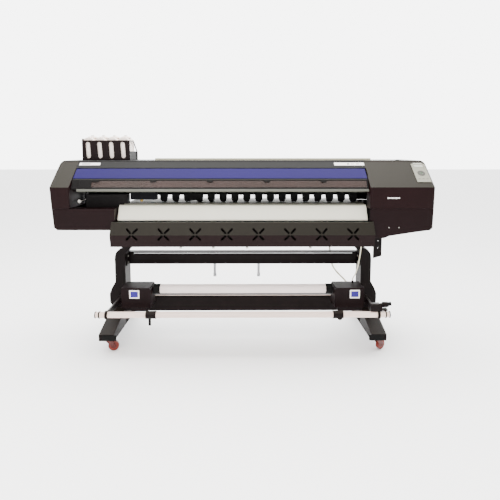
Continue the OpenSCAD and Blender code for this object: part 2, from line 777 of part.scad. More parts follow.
// Lower right cover with its stepped bottom edge
module right_cap_lower() {
  z1 = seam_z - seam_gap / 2;
  function outline(i) = [
    [right_in, bottom_z - 58 + i], [hx - 339, bottom_z - 58 + i], [hx - 305, bottom_z - 43 + i],
    [hx - 143, bottom_z - 18 + i], [edge_x(bottom_z, taper_right) - 18, bottom_z - 2 + i],
    [edge_x(bottom_z, taper_right) - i, bottom_z + 14], [edge_x(z1, taper_right) - i, z1 + (i > 0 ? 1 : 0)],
    [right_in, z1 + (i > 0 ? 1 : 0)]
  ];
  color("#3a2a28") difference() {
    along_y(front_y, back_y) polygon(outline(0));
    translate([-1, 0, 0]) along_y(front_y + cover_t, back_y - cover_t) polygon(outline(cover_t));
    block([right_in - 1, base_front - 60, bottom_z - 70], [hx - 50, back_y - cover_t, bottom_z + 6]);
    block([hx - 160 - 4, front_y - 1, z1 - 6], [hx - 160 + 4, front_y + 1.2, z1 + 1]);
  }
}

// Fixed top cover between the caps, with the lid's hinge sleeves
module top_cover() {
  x0 = left_in + 0.5;
  x1 = right_in - 0.5;
  color("#77756c") {
    along_x(x0, x1) polygon([
      [top_y - strip_w * cos(slant), top_z - strip_w * sin(slant)], [top_y, top_z], [knee_y, knee_z],
      [crown_y, crown_z], [back_y, crown_z], [back_y, platen_z + 50],
      [back_y - cover_t, platen_z + 50], [back_y - cover_t, crown_z - cover_t],
      [crown_y + cover_t * 0.3, crown_z - cover_t], [knee_y + cover_t * 0.8, knee_z - cover_t * 0.6],
      [top_y + cover_t * sin(slant), top_z - cover_t * cos(slant)],
      [top_y - strip_w * cos(slant) + cover_t * sin(slant), top_z - strip_w * sin(slant) - cover_t * cos(slant)]
    ]);
    for (i = [0 : hinge_count - 1]) on_slant() {
      x = lid_x0 + 100 + i * hinge_pitch;
      difference() {
        union() {
          rod_x(x - 12, x + 12, -hinge_l, -hinge_d, hinge_sleeve);
          block([x - 12, -hinge_l + 1, -hinge_d - 1.4], [x + 12, -strip_w + 0.5, -hinge_d + 1.4]);
        }
        rod_x(x - 13, x + 13, -hinge_l, -hinge_d, hinge_pin + run);
      }
    }
  }
}

// Coloured band along the lid
module lid_band() {
  color("#6663a5") on_slant() difference() {
    block([lid_x0, -band_at - band_l, -band_t], [lid_x1, -band_at, 0]);
    for (i = [0 : hinge_count - 1])
      block([lid_x0 + 100 + i * hinge_pitch - 14, -band_at - 0.1, -band_t - 1], [lid_x0 + 100 + i * hinge_pitch + 14, -band_at + 1, 1]);
  }
}

// Black lid frame: hinge rod, channel, lip, visor surround
module lid_frame() {
  color("#1b1a1d") {
    on_slant() {
      rod_x(lid_x0 + 40, lid_x1 - 40, -hinge_l, -hinge_d, hinge_pin);
      difference() {
        block([lid_x0, -band_at - band_l - 1, -frame_d - band_t], [lid_x1, -band_at, -band_t]);
        block([lid_x0 + 6, -band_at - band_l + 4, -frame_d - band_t - 1], [lid_x1 - 6, -band_at - 6, -band_t - 4]);
      }
      for (i = [0 : hinge_count - 2]) {
        x = lid_x0 + 100 + (i + 0.5) * hinge_pitch;
        block([x - 60, -band_at - 3, -band_t - 4], [x + 60, -hinge_l, -band_t]);
        block([x - 60, -band_at + 0.2, -band_t - 1], [x + 60, -hinge_l, -hinge_d]);
      }
      block([lid_x0 + 1, -visor_at - 1, -frame_d], [lid_x1 - 1, -band_at - band_l - 0.4, -2]);
    }
    on_visor() difference() {
      block([lid_x0, -visor_l - strip_l, -6], [lid_x1, 4, 0]);
      block([lid_x0 + visor_in, -visor_l, -7], [lid_x1 - 10, -4, 1]);
    }
  }
}
module lid_visor() {
  color("#a08c86", 0.6) on_visor()
    block([lid_x0 + visor_in, -visor_l, -4], [lid_x1 - 10, -4, -1]);
}
module lid_trim() {
  color("#d9d8d2") on_visor() difference() {
    block([lid_x0 + 40, -visor_l - strip_l - trim_l, -9], [lid_x1, -visor_l - strip_l, 4]);
    block([lid_x0 + 39, -visor_l - strip_l - trim_l + 3, -10], [lid_x1 + 1, -visor_l - strip_l - 3, -1]);
  }
}

// ---------- dryer ----------

function dryer_outline(i) = [
  [dryer_back - i, dryer_z0 + i], [dryer_back - i, dryer_z1 - i], [dryer_top_y + i * 0.6, dryer_z1 - i],
  [dryer_fold_y + i, dryer_fold_z], [dryer_low_y + i, dryer_z0 + i]
];

// One slot of a crossed vent, in [x, z]
module vent_slot(x, z, a) {
  translate([x, z]) rotate(a) translate([31, 0]) square([34, 14], center = true);
  for (d = [14, 48]) translate([x, z]) rotate(a) translate([d, 0]) circle(d = 14, $fn = 24);
}

// Folded dryer housing with crossed vents over its fold
module dryer_housing() {
  color("#4c4a41") {
    difference() {
      along_x(-dryer_w / 2, dryer_w / 2) polygon(dryer_outline(0));
      along_x(-dryer_w / 2 + dryer_t, dryer_w / 2 - dryer_t) polygon(dryer_outline(dryer_t));
      for (i = [0 : vent_count - 1]) for (a = [45 : 90 : 315])
        along_y(dryer_fold_y - 2, dryer_back - 8)
          vent_slot((i - (vent_count - 1) / 2) * vent_pitch, dryer_fold_z + 4, a);
      both() rod_x(dryer_w / 2 - 4, dryer_w / 2 + 1, blower_y, blower_z, 5 + run);
    }
    both() difference() {
      rod_x(dryer_w / 2 - 12, dryer_w / 2, blower_y, blower_z, 10);
      rod_x(dryer_w / 2 - 13, dryer_w / 2 + 1, blower_y, blower_z, 5 + run);
    }
    for (x = [-600, 0, 600]) {
      block([x - 3, dryer_back, dryer_z1 - 52], [x + 3, base_front, dryer_z1 - 8]);
      block([x - 30, base_front - 3, dryer_z1 - 52], [x + 30, base_front, dryer_z1 - 8]);
    }
  }
}

// Cross-flow blower rotor
module dryer_blower() {
  l = dryer_w / 2 - 20;
  color("#7b7f83") {
    rod_x(-dryer_w / 2 + 1, dryer_w / 2 - 1, blower_y, blower_z, 5);
    for (i = [-4 : 4]) rod_x(i * l / 4 - 2, i * l / 4 + 2, blower_y, blower_z, blower_r);
    for (k = [0 : blade_n - 1]) translate([0, blower_y, blower_z]) rotate([k * 360 / blade_n, 0, 0])
      block([-l, blower_r - 6, -0.8], [l, blower_r - 0.5, 0.8]);
  }
}

// ---------- ink station ----------

module ink_cover() {
  z1 = crown_z + 148;
  y1 = ink_front;
  w = ink_w + 2 * tray_t;
  color("#241c1c") difference() {
    union() {
      block([ink_x0, y1 - 4, crown_z], [ink_x0 + w, y1, z1]);
      block([ink_x0, y1 - 1, crown_z], [ink_x0 + 3, y1 + 66, z1 + 12]);
      block([ink_x0 + w - 1, y1 - 4, crown_z], [ink_x0 + w + 6, y1, z1]);
      along_x(ink_x0 + w + free, ink_x0 + w + 6) polygon([
        [y1 - 4, z1 - 9], [y1 - 4, z1], [y1 + 118, z1], [y1 + tray_d, crown_z + 58], [y1 + tray_d, crown_z],
        [y1 + tray_d - 9, crown_z], [y1 + tray_d - 9, crown_z + 54], [y1 + 112, z1 - 9]
      ]);
    }
    for (i = [0 : tank_count - 1]) along_y(y1 - 5, y1 + 1) {
      x = tank_x0 + i * tank_pitch;
      translate([x, crown_z + 75]) rotate(3) square([32, 88], center = true);
      for (s = [-1, 1]) translate([x, crown_z + 75]) rotate(3) translate([0, s * 44]) circle(d = 32);
    }
  }
}
module ink_tray() {
  w = ink_w + 2 * tray_t;
  color("#5e5d5a") difference() {
    block([ink_x0 + 3, ink_front, crown_z], [ink_x0 + w, ink_front + tray_d, crown_z + 66]);
    block([ink_x0 + tray_t + 3, ink_front + 4, crown_z + 5], [ink_x0 + w - tray_t, ink_front + tray_d - 4, crown_z + 67]);
    block([ink_x0 + tray_t + 3, ink_front - 1, crown_z + 14], [ink_x0 + w - tray_t, ink_front + 5, crown_z + 67]);
  }
}

// Blow-moulded tanks with round shoulders
module ink_tanks() {
  y0 = ink_front + 7;
  r = 30;
  color("#eceae4") for (i = [0 : tank_count - 1]) {
    x = tank_x0 + i * tank_pitch;
    z1 = crown_z + 5 + tank_h;
    along_y(y0, y0 + tank_d) polygon(concat(
      [[x - tank_w / 2, crown_z + 5], [x + tank_w / 2, crown_z + 5]],
      [for (a = [0 : 15 : 90]) [x + tank_w / 2 - r + r * cos(a), z1 - r + r * sin(a)]],
      [for (a = [90 : 15 : 180]) [x - tank_w / 2 + r + r * cos(a), z1 - r + r * sin(a)]]
    ));
  }
}

// ---------- control panel ----------

module control_panel() {
  color("#c4c1b0") on_slant() difference() {
    block([panel_x - panel_w / 2, -panel_at - panel_l, 0], [panel_x + panel_w / 2, -panel_at, panel_t]);
    block([panel_x - 34, -panel_at - 62, panel_t - 1], [panel_x + 34, -panel_at - 14, panel_t + 1]);
    difference() {
      rod_z(0.8, panel_t + 1, panel_x, -key_at, nav_r1 + 1.5);
      rod_z(0, panel_t + 2, panel_x, -key_at, nav_r0 - 1);
    }
    rod_z(0.8, panel_t + 1, panel_x, -key_at, enter_r + free);
  }
}
module key_enter() {
  color("#3b6a4a") on_slant() rod_z(2.2, panel_t + 2, panel_x, -key_at, enter_r);
}
module key_nav() {
  color("#4a4a4c") on_slant() difference() {
    rod_z(2.8, panel_t + 1.6, panel_x, -key_at, nav_r1);
    rod_z(2, panel_t + 3, panel_x, -key_at, nav_r0);
  }
}

// ---------- take-up ----------

// Hollow drive box with its bracket on the lower beam, drawn on the right
module takeup_box() {
  mid = (box_in + box_out) / 2;
  difference() {
    union() {
      block([box_in, box_front, box_z0], [box_out, box_back, box_z1]);
      block([mid - 60, box_back, 250], [mid + 60, lower_front, box_z0 + 40]);
      block([mid - 60, box_back - 60, 250], [mid + 60, box_back, box_z0]);
    }
    block([box_in + 4, box_front + 4, box_z0 + 4], [box_out - 4, box_back - 4, box_z1 - 4]);
    block([mid - 54, box_back - 54, 256], [mid + 54, lower_front - 6, box_z0 - 4]);
    rod_x(box_in - 1, box_in + 5, takeup_y, takeup_z, journal_r + run);
    along_y(box_front - 1, box_back + 1) polygon([
      [box_in - 1, box_z1 - 12], [box_in - 1, box_z1 + 1], [box_in + 12, box_z1 + 1]
    ]);
  }
}
module takeup_box_left() { color("#2c1f1f") mirror([1, 0, 0]) takeup_box(); }
module takeup_box_right() {
  color("#2c1f1f") {
    takeup_box();
    rod_y(box_back, bundle_route[16][1] - plug_gap, bundle_route[16][0], bundle_route[16][2], 8);
    rod_z(box_z1, single_route[12][2] - plug_gap, single_route[12][0], single_route[12][1], 7);
  }
}
module takeup_spindle() {
  color("#1a1a1b") {
    rod_x(-box_in - 14, box_in + 14, takeup_y, takeup_z, journal_r);
    both() {
      rod_x(roll_w / 2 + 0.2, box_in - 4, takeup_y, takeup_z, hub_r);
      rod_x(roll_w / 2 - plug_l, roll_w / 2 + 0.2, takeup_y, takeup_z, core_r - run);
    }
  }
}
module takeup_roll() {
  color("#e6dade") difference() {
    rod_x(-roll_w / 2, roll_w / 2, takeup_y, takeup_z, roll_r);
    rod_x(-roll_w, roll_w, takeup_y, takeup_z, core_r);
  }
}

// Round tension bar
module tension_bar() {
  color("#f0ddd4") difference() {
    rod_x(-bar_w / 2, bar_w / 2, bar_y, arm_z, bar_r);
    for (s = [-1, 1]) rod_x(s * bar_w / 2 - 12, s * bar_w / 2 + 12, bar_y, arm_z, bar_r - 5);
  }
}

// Sleeve clamped on the bar
module bar_sleeve(x0, x1, r) {
  difference() {
    rod_x(x0, x1, bar_y, arm_z, r);
    rod_x(x0 - 1, x1 + 1, bar_y, arm_z, bar_r + run);
  }
}

// Arms from the pivots on the legs, rings, stop collars with a peg and a knob, and a clamp block with a handle
module tension_arms() {
  module arm() difference() {
    union() {
      rod_x(arm_x + free, arm_x + arm_t, arm_y, arm_z, arm_end_r);
      rod_x(arm_x + free, arm_x + arm_t + 4, bar_y, arm_z, arm_end_r);
      block([arm_x + free, bar_y, arm_z - 20], [arm_x + arm_t, arm_y, arm_z + 20]);
    }
    rod_x(arm_x, arm_x + arm_t + 5, arm_y, arm_z, pivot_pin_r + run);
    rod_x(arm_x, arm_x + arm_t + 5, bar_y, arm_z, bar_r + run);
  }
  color("#202022") {
    both() arm();
    both() bar_sleeve(bar_w / 2 - 8, bar_w / 2, bar_r + 3);
    for (x = collar_xs) bar_sleeve(x, x + collar_w, bar_r + 5);
    rod_z(arm_z - 74, arm_z - bar_r - 1, collar_xs[0] + 25, bar_y, 9);
    rod_y(bar_y - bar_r - 4, bar_y - bar_r - 1, collar_xs[1] + 44, arm_z - 14, 17);
    along_x(arm_x - 46, arm_x + arm_t + 6) polygon([
      [bar_y - 14, arm_z + arm_end_r - 4], [bar_y + 40, arm_z + 17], [bar_y + 52, arm_z + 30],
      [bar_y + 44, arm_z + 70], [bar_y - 8, arm_z + 76], [bar_y - 14, arm_z + 68]
    ]);
    rod_x(arm_x + arm_t + 5, arm_x + arm_t + 26, bar_y + 14, arm_z + 60, 11);
    rod_x(arm_x + arm_t + 25, arm_x + arm_t + 52, bar_y + 14, arm_z + 64, 19);
  }
}

// ---------- rear supply and small parts ----------

module supply_brackets() {
  color("#2b2422") both() difference() {
    union() {
      along_x(neck_in + 6, neck_in + 18) polygon([
        [leg_back, supply_z - 60], [leg_back, supply_z + 50], [supply_y - 30, supply_z + 34],
        [supply_y + 34, supply_z + 34], [supply_y + supply_reach, supply_z + 8],
        [supply_y + supply_reach, supply_z - 10], [supply_y + 30, supply_z - 34], [supply_y - 20, supply_z - 34]
      ]);
      block([neck_in + 2, leg_back, supply_z - 60], [neck_in + 60, leg_back + 8, supply_z + 50]);
    }
    rod_x(neck_in, neck_in + 20, supply_y, supply_z, journal_r + run);
  }
}
module supply_shaft() {
  color("#c4c6c8") {
    rod_x(-neck_in - 22, neck_in + 22, supply_y, supply_z, journal_r);
    rod_x(-neck_in + 4, neck_in - 4, supply_y, supply_z, 19);
    both() rod_x(690, 700, supply_y, supply_z, flange_r);
    both() rod_x(680, 690, supply_y, supply_z, 30);
  }
}

// Bracket of the drain bottle beside the right column
module drain_bracket() {
  x0 = leg_out + 1;
  color("#241f1e") difference() {
    union() {
      along_y(-104, -98) polygon([[x0, 612], [x0 + 62, 630], [x0 + 62, base_z0 - 1], [x0, base_z0 - 1]]);
      block([x0, -104, base_z0 - 5], [x0 + 62, -40, base_z0]);
    }
    for (z = [690, 745]) rod_y(-105, -97, x0 + 34, z, 3);
  }
}

// Round tube swept along a route, with 8 sides
function unit(v) = v / norm(v);
function tangent(p, i) = unit(i == 0 ? p[1] - p[0] : i == len(p) - 1 ? p[i] - p[i - 1] : p[i + 1] - p[i - 1]);
function ring(c, t, r) = let (u = unit(cross(t, [1, 0.2, 0])), v = cross(t, u))
  [for (k = [0 : 7]) c + r * cos(45 * k) * u + r * sin(45 * k) * v];
module cord_tube(p, d) {
  n = len(p);
  pts = [for (i = [0 : n - 1]) each ring(p[i], tangent(p, i), d / 2)];
  sides = [for (i = [0 : n - 2]) for (k = [0 : 7])
    [i * 8 + k, i * 8 + (k + 1) % 8, (i + 1) * 8 + (k + 1) % 8, (i + 1) * 8 + k]];
  polyhedron(points = pts, faces = concat(sides, [[for (k = [7 : -1 : 0]) k]], [[for (k = [0 : 7]) (n - 1) * 8 + k]]));
}
module cable_bundle() { color("#d9d3b4") cord_tube(bundle_route, bundle_d); }
module cable_single() { color("#d9d3b4") cord_tube(single_route, single_d); }

leg_left();
leg_right();
upper_crossbeam();
lower_crossbeam();
stand_bolts();
hanger_rods();
caster_fork_fl();
caster_fork_fr();
caster_fork_rl();
caster_fork_rr();
caster_wheel_fl();
caster_wheel_fr();
caster_wheel_rl();
caster_wheel_rr();
machine_base();
platen();
front_apron();
rear_apron();
rail_beam();
drive_belt();
drive_pulley();
idler_pulley();
drive_motors();
grit_roller();
pinch_arms();
pinch_rollers();
loading_lever();
print_carriage();
print_heads();
cutter_carriage();
blade_holder();
cap_station();
left_cap_upper();
left_cap_lower();
right_cap_upper();
right_cap_lower();
top_cover();
lid_band();
lid_frame();
lid_visor();
lid_trim();
dryer_housing();
dryer_blower();
ink_cover();
ink_tray();
ink_tanks();
control_panel();
key_enter();
key_nav();
takeup_box_left();
takeup_box_right();
takeup_spindle();
takeup_roll();
tension_bar();
tension_arms();
supply_brackets();
supply_shaft();
drain_bracket();
cable_bundle();
cable_single();
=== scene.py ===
"""Looks of a wide-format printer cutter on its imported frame. The classes hold millimetres."""
import json
import logging
import math
from dataclasses import dataclass, field
from enum import Enum
from typing import Iterable, Sequence

import bmesh
import bpy
from mathutils import Matrix, Vector

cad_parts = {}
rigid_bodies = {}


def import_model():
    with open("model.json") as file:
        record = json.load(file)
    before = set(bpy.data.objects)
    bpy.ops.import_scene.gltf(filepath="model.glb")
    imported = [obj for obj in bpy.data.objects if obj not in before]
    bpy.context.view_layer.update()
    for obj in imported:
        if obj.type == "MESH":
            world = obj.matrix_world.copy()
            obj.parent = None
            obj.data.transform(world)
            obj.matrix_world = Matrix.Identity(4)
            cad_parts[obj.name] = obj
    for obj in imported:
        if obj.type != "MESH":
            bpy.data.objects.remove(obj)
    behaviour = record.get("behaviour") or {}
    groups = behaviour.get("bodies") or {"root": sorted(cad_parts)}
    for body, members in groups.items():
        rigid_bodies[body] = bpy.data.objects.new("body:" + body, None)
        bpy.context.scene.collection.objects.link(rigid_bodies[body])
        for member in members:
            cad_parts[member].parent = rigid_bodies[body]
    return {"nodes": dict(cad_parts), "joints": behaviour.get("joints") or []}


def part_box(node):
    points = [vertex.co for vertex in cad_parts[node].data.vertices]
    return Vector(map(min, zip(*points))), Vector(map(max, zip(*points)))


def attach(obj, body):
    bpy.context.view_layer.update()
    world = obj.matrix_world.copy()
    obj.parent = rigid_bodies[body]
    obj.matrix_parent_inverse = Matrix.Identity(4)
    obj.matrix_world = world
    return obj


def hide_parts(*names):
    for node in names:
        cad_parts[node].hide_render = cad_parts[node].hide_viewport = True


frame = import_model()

LOG = logging.getLogger("printer_cutter")
MM = 0.001
Point = Sequence[float]
Outline = Sequence[Point]
Place = tuple[float, float, float]
# Turns a plate so that its outline's X runs to the front, its Y up, and its depth along the machine.
SWEPT = Matrix(((0, 0, 1, 0), (-1, 0, 0, 0), (0, 1, 0, 0), (0, 0, 0, 1)))
# Stands a plate up so that it faces the front.
UPRIGHT = Matrix.Rotation(math.radians(90), 4, "X")


def to_linear(hexcode: str) -> tuple[float, float, float, float]:
    """Turn an sRGB hex colour to linear.

    Args:
        hexcode: Six hex digits after a hash.

    Returns:
        Linear red, green, blue and an alpha of 1.
    """
    parts = [int(hexcode[i : i + 2], 16) / 255 for i in (1, 3, 5)]
    r, g, b = (c / 12.92 if c <= 0.04045 else ((c + 0.055) / 1.055) ** 2.4 for c in parts)
    return r, g, b, 1.0


def add_node(
    tree: bpy.types.NodeTree, kind: str, inputs: dict | None = None, **settings: object
) -> bpy.types.Node:
    """Add a node, set its options, and fill or link its inputs.

    Args:
        tree: The tree that gets the node.
        kind: The node's type name.
        inputs: Input name or number to a value, or to the output socket that feeds it.
        settings: Options of the node itself.

    Returns:
        The new node.
    """
    node = tree.nodes.new(kind)
    for key, value in settings.items():
        setattr(node, key, value)
    for key, value in (inputs or {}).items():
        if isinstance(value, bpy.types.NodeSocket):
            tree.links.new(value, node.inputs[key])
        else:
            node.inputs[key].default_value = value
    return node


class Grain(Enum):
    """How a surface was made, which sets the shape of its fine pattern."""

    SMOOTH = (1.0, 1.0, 1.0)
    SPRAYED = (1.0, 1.0, 1.0)
    MOULDED = (1.0, 1.0, 1.0)
    BRUSHED_X = (0.02, 1.0, 1.0)
    TURNED_X = (1.0, 0.05, 0.05)
    WOUND_X = (0.05, 1.0, 1.0)


@dataclass(frozen=True)
class Finish:
    """One real finish: its colours, gloss, slow tone change and fine grain, and on some a painted lighter
    top.

    Attributes:
        name: The finish's name in a maker's words.
        colour: Main colour.
        shade: Second colour, which the slow clouds mix in.
        roughness: Middle of the roughness range.
        metallic: Share of bare metal.
        grain: How the surface was made.
        grain_mm: Size of the fine grain.
        bump_mm: Height of the fine grain.
        cloud_mm: Size of the slow tone change.
        spread: How far the roughness goes up and down.
        edge_mm: Radius that the light sees on sharp edges.
        coat: Clear coat.
        ior: Index of refraction, where the finish isn't metal.
        clear: Share of light let through.
        alpha: Cover.
        painted_top_light: How much of the lit colour is painted on what faces up, a painted highlight of the
            light from above.
        lit: Painted colour of what faces up, standing for the light that falls on it.
        specular: Strength of the plain reflection, where the finish isn't metal.
    """

    name: str
    colour: str
    shade: str
    roughness: float
    metallic: float = 0.0
    grain: Grain = Grain.SPRAYED
    grain_mm: float = 5.0
    bump_mm: float = 0.05
    cloud_mm: float = 260.0
    spread: float = 0.06
    edge_mm: float = 1.5
    coat: float = 0.0
    ior: float = 1.5
    clear: float = 0.0
    alpha: float = 1.0
    painted_top_light: float = 0.0
    lit: str = "#8d8a82"
    specular: float = 0.5

    def material(self) -> bpy.types.Material:
        """Build the finish once, or find it if it is already built.

        Returns:
            The finish's material.
        """
        made = bpy.data.materials.get(self.name)
        if made:
            return made
        made = bpy.data.materials.new(self.name)
        made.use_nodes = True
        tree = made.node_tree
        tree.nodes.clear()
        place = add_node(tree, "ShaderNodeTexCoord").outputs["Object"]
        clouds = add_node(
            tree, "ShaderNodeTexNoise", {"Vector": place, "Scale": 1 / (self.cloud_mm * MM), "Detail": 3.0}
        )
        tone = add_node(tree, "ShaderNodeMix", data_type="RGBA")
        tree.links.new(clouds.outputs["Fac"], tone.inputs["Factor"])
        for socket in tone.inputs:
            if socket.type == "RGBA":
                first = socket.identifier.startswith("A")
                socket.default_value = to_linear(self.colour if first else self.shade)
        colour = next(s for s in tone.outputs if s.type == "RGBA")
        # Painted light: faces that point up are mixed towards the lit colour, as a painted highlight.
        if self.painted_top_light:
            colour = self.with_painted_top_light(tree, colour)
        stretch = add_node(tree, "ShaderNodeMapping", {"Vector": place, "Scale": self.grain.value})
        fine = add_node(
            tree,
            "ShaderNodeTexNoise",
            {"Vector": stretch.outputs["Vector"], "Scale": 1 / (self.grain_mm * MM), "Detail": 4.0},
        )
        gloss = add_node(
            tree,
            "ShaderNodeMapRange",
            {
                "Value": fine.outputs["Fac"],
                "From Min": 0.3,
                "From Max": 0.7,
                "To Min": max(0.02, self.roughness - self.spread),
                "To Max": min(1.0, self.roughness + self.spread),
            },
        )
        edge = add_node(tree, "ShaderNodeBevel", {"Radius": self.edge_mm * MM}, samples=4)
        bump = add_node(
            tree,
            "ShaderNodeBump",
            {
                "Height": fine.outputs["Fac"],
                "Distance": self.bump_mm * MM,
                "Strength": 0.6,
                "Normal": edge.outputs["Normal"],
            },
        )
        shader = add_node(
            tree,
            "ShaderNodeBsdfPrincipled",
            {"Base Color": colour, "Roughness": gloss.outputs["Result"], "Normal": bump.outputs["Normal"]},
        )
        shader.inputs["Metallic"].default_value = self.metallic
        shader.inputs["Coat Weight"].default_value = self.coat
        shader.inputs["Coat Roughness"].default_value = 0.08
        shader.inputs["Transmission Weight"].default_value = self.clear
        shader.inputs["Alpha"].default_value = self.alpha
        if not self.metallic:
            shader.inputs["IOR"].default_value = self.ior
            shader.inputs["Specular IOR Level"].default_value = self.specular
        add_node(tree, "ShaderNodeOutputMaterial", {"Surface": shader.outputs["BSDF"]})
        return made

    def with_painted_top_light(self, tree: bpy.types.NodeTree, colour: bpy.types.NodeSocket) -> bpy.types.NodeSocket:
        """Lighten what faces up, a painted highlight that stands for the light from above.

        Args:
            tree: The material's tree.
            colour: The colour without the painted light.

        Returns:
            The colour with the painted top light.
        """
        normal = add_node(tree, "ShaderNodeNewGeometry").outputs["Normal"]
        facing = add_node(tree, "ShaderNodeSeparateXYZ", {"Vector": normal})
        amount = add_node(
            tree,
            "ShaderNodeMapRange",
            {
                "Value": facing.outputs["Z"],
                "From Min": 0.25,
                "From Max": 0.95,
                "To Min": 0.0,
                "To Max": self.painted_top_light,
            },
        )
        mix = add_node(tree, "ShaderNodeMix", data_type="RGBA")
        tree.links.new(amount.outputs["Result"], mix.inputs["Factor"])
        first, second = [s for s in mix.inputs if s.type == "RGBA"]
        tree.links.new(colour, first)
        second.default_value = to_linear(self.lit)
        return next(s for s in mix.outputs if s.type == "RGBA")


# Powder-coated steel: a faint orange peel and a soft sheen along folded edges. What faces up is painted
# lighter, a painted highlight of the light from above.
STAND_COAT = Finish(
    "powder_coated_steel_black", "#0f0606", "#090404", 0.48,
    edge_mm=3.0, painted_top_light=0.6, lit="#2a2521", specular=0.08,
)
# Sprayed sheet metal of the upper covers: satin, warm dark grey, with a painted highlight that makes what
# faces up paler, standing for the light from above.
COVER_COAT = Finish(
    "satin_paint_warm_grey", "#180809", "#120607", 0.45,
    edge_mm=5.0, painted_top_light=0.95, lit="#292821", specular=0.08,
)
# Moulded ABS of the lower covers: dark brown, smoother than the paint.
LOWER_ABS = Finish(
    "moulded_abs_dark_brown", "#150708", "#100506", 0.4,
    grain=Grain.MOULDED, grain_mm=3.0, edge_mm=6.0, specular=0.08,
)
# Satin paint of the flat top and the label strip: neutral grey, painted a little lighter where it faces up,
# a painted highlight of the light from above.
TOP_COAT = Finish(
    "satin_paint_strip_grey", "#1c1c1c", "#171717", 0.45,
    edge_mm=2.0, painted_top_light=0.8, lit="#1f1f1f", specular=0.06,
)
# Back-painted acrylic: deep colour under a clear gloss.
BAND_ACRYLIC = Finish(
    "painted_acrylic_violet_blue", "#180a4c", "#120740", 0.4,
    bump_mm=0.01, cloud_mm=900, specular=0.06,
)
# Moulded black plastic of the lid's frame, slightly glossy.
LID_ABS = Finish(
    "moulded_abs_black", "#0c0a0a", "#080707", 0.45,
    grain=Grain.MOULDED, grain_mm=3.0, specular=0.1,
)
# Smoked acrylic sheet: tinted, clear, with a sharp reflection.
SMOKED = Finish(
    "smoked_acrylic_sheet", "#3a2927", "#2a221c", 0.22,
    bump_mm=0.0, clear=0.1, ior=1.49, alpha=0.94, specular=0.18,
)
# Anodised aluminium drawn through a die: long faint lines and a silky highlight.
ANODISED = Finish(
    "anodised_aluminium_drawn", "#c9cacb", "#b5b7b9", 0.32,
    metallic=1.0, grain=Grain.BRUSHED_X, grain_mm=2.0,
)
# Lacquered aluminium of the lid's bottom rail: long faint lines under a thin film.
RAIL_LACQUER = Finish(
    "lacquered_aluminium_pale", "#4a4b43", "#3e3f38", 0.45,
    metallic=0.1, grain=Grain.BRUSHED_X, grain_mm=3.0,
)
# Cream enamel on the heated apron: even, soft, faintly warm.
APRON_ENAMEL = Finish("cream_enamel", "#f5f3e2", "#ece9d6", 0.42, cloud_mm=700, edge_mm=6.0)
# Satin paint of the drying hood: dark brown, with a painted highlight that turns what faces up olive,
# standing for the light from above.
HOOD_COAT = Finish(
    "satin_paint_brown_painted_olive_top", "#150708", "#0f0505", 0.45,
    edge_mm=3.0, painted_top_light=0.95, lit="#2c2f27", specular=0.08,
)
# Bead-blasted aluminium of the platen: an even grey haze.
PLATEN_ALU = Finish(
    "bead_blasted_aluminium", "#78776b", "#68675c", 0.48,
    metallic=0.5, grain_mm=4.0, bump_mm=0.08,
)
# Extruded cream profile: even, soft, a little yellow, with faint drawn lines.
CREAM_PVC = Finish(
    "extruded_pvc_cream", "#9b9886", "#8d8a78", 0.5,
    grain=Grain.BRUSHED_X, grain_mm=3.0, specular=0.2,
)
# Galvanised guide sheet: broad pale spangle.
GUIDE_SHEET = Finish("galvanised_sheet", "#a9a89b", "#929186", 0.45, metallic=0.4, grain_mm=14.0)
# Matt chassis paint, dark grey.
CHASSIS = Finish("matt_paint_charcoal", "#141111", "#0f0d0d", 0.6, specular=0.12)
# Black anodised extrusion of the guide beam: dark, silky, drawn lengthways.
BEAM_ALU = Finish(
    "black_anodised_aluminium", "#1a1a17", "#131311", 0.45,
    grain=Grain.BRUSHED_X, grain_mm=2.0, specular=0.12,
)
# Turned and ground steel: fine rings round the shaft.
TURNED = Finish(
    "turned_steel", "#a9acb0", "#8f9296", 0.3,
    metallic=1.0, grain=Grain.TURNED_X, grain_mm=1.5,
)
# Zinc-plated steel of bolts and washers.
ZINC = Finish("zinc_plated_steel", "#a5a59f", "#8b8b84", 0.35, metallic=1.0, grain_mm=3.0)
# Rubber compounds: matt, slightly uneven.
BLACK_RUBBER = Finish(
    "black_nitrile_rubber", "#131314", "#1a1a1b", 0.75,
    grain_mm=2.0, bump_mm=0.1, specular=0.15,
)
# Cast polyurethane tread: red, slightly waxy.
RED_TREAD = Finish(
    "cast_polyurethane_red", "#7d2f24", "#66241b", 0.38,
    grain=Grain.MOULDED, cloud_mm=40, specular=0.25,
)
# Red enamel of the caster forks, slightly glossy.
FORK_PAINT = Finish("red_enamel", "#5d1812", "#4c130e", 0.3, cloud_mm=60, coat=0.2, specular=0.3)
# Moulded matt plastic of carriages and arms.
MATT_ABS = Finish(
    "moulded_abs_matt_black", "#0b0a0a", "#070707", 0.6,
    grain=Grain.MOULDED, grain_mm=2.5, specular=0.1,
)
# Glass-filled nylon of the fans: dark, dull, faintly olive.
DARK_FAN = Finish(
    "glass_filled_nylon_dark", "#171613", "#11100e", 0.65,
    grain=Grain.MOULDED, grain_mm=2.0, specular=0.1,
)
# Blue-black plastic of the cutting carriage.
CUTTER_ABS = Finish(
    "moulded_abs_blue_black", "#08080e", "#050509", 0.55,
    grain=Grain.MOULDED, grain_mm=2.5, specular=0.08,
)
# White moulded ABS of the knobs.
WHITE_ABS = Finish(
    "moulded_abs_white", "#e8e5de", "#dedad2", 0.35,
    grain=Grain.MOULDED, grain_mm=3.0,
)
# Turned brass of the blade holder: warm, with fine marks of the tool.
BRASS = Finish("turned_brass", "#b8995a", "#a5874c", 0.28, metallic=1.0, grain_mm=1.5)
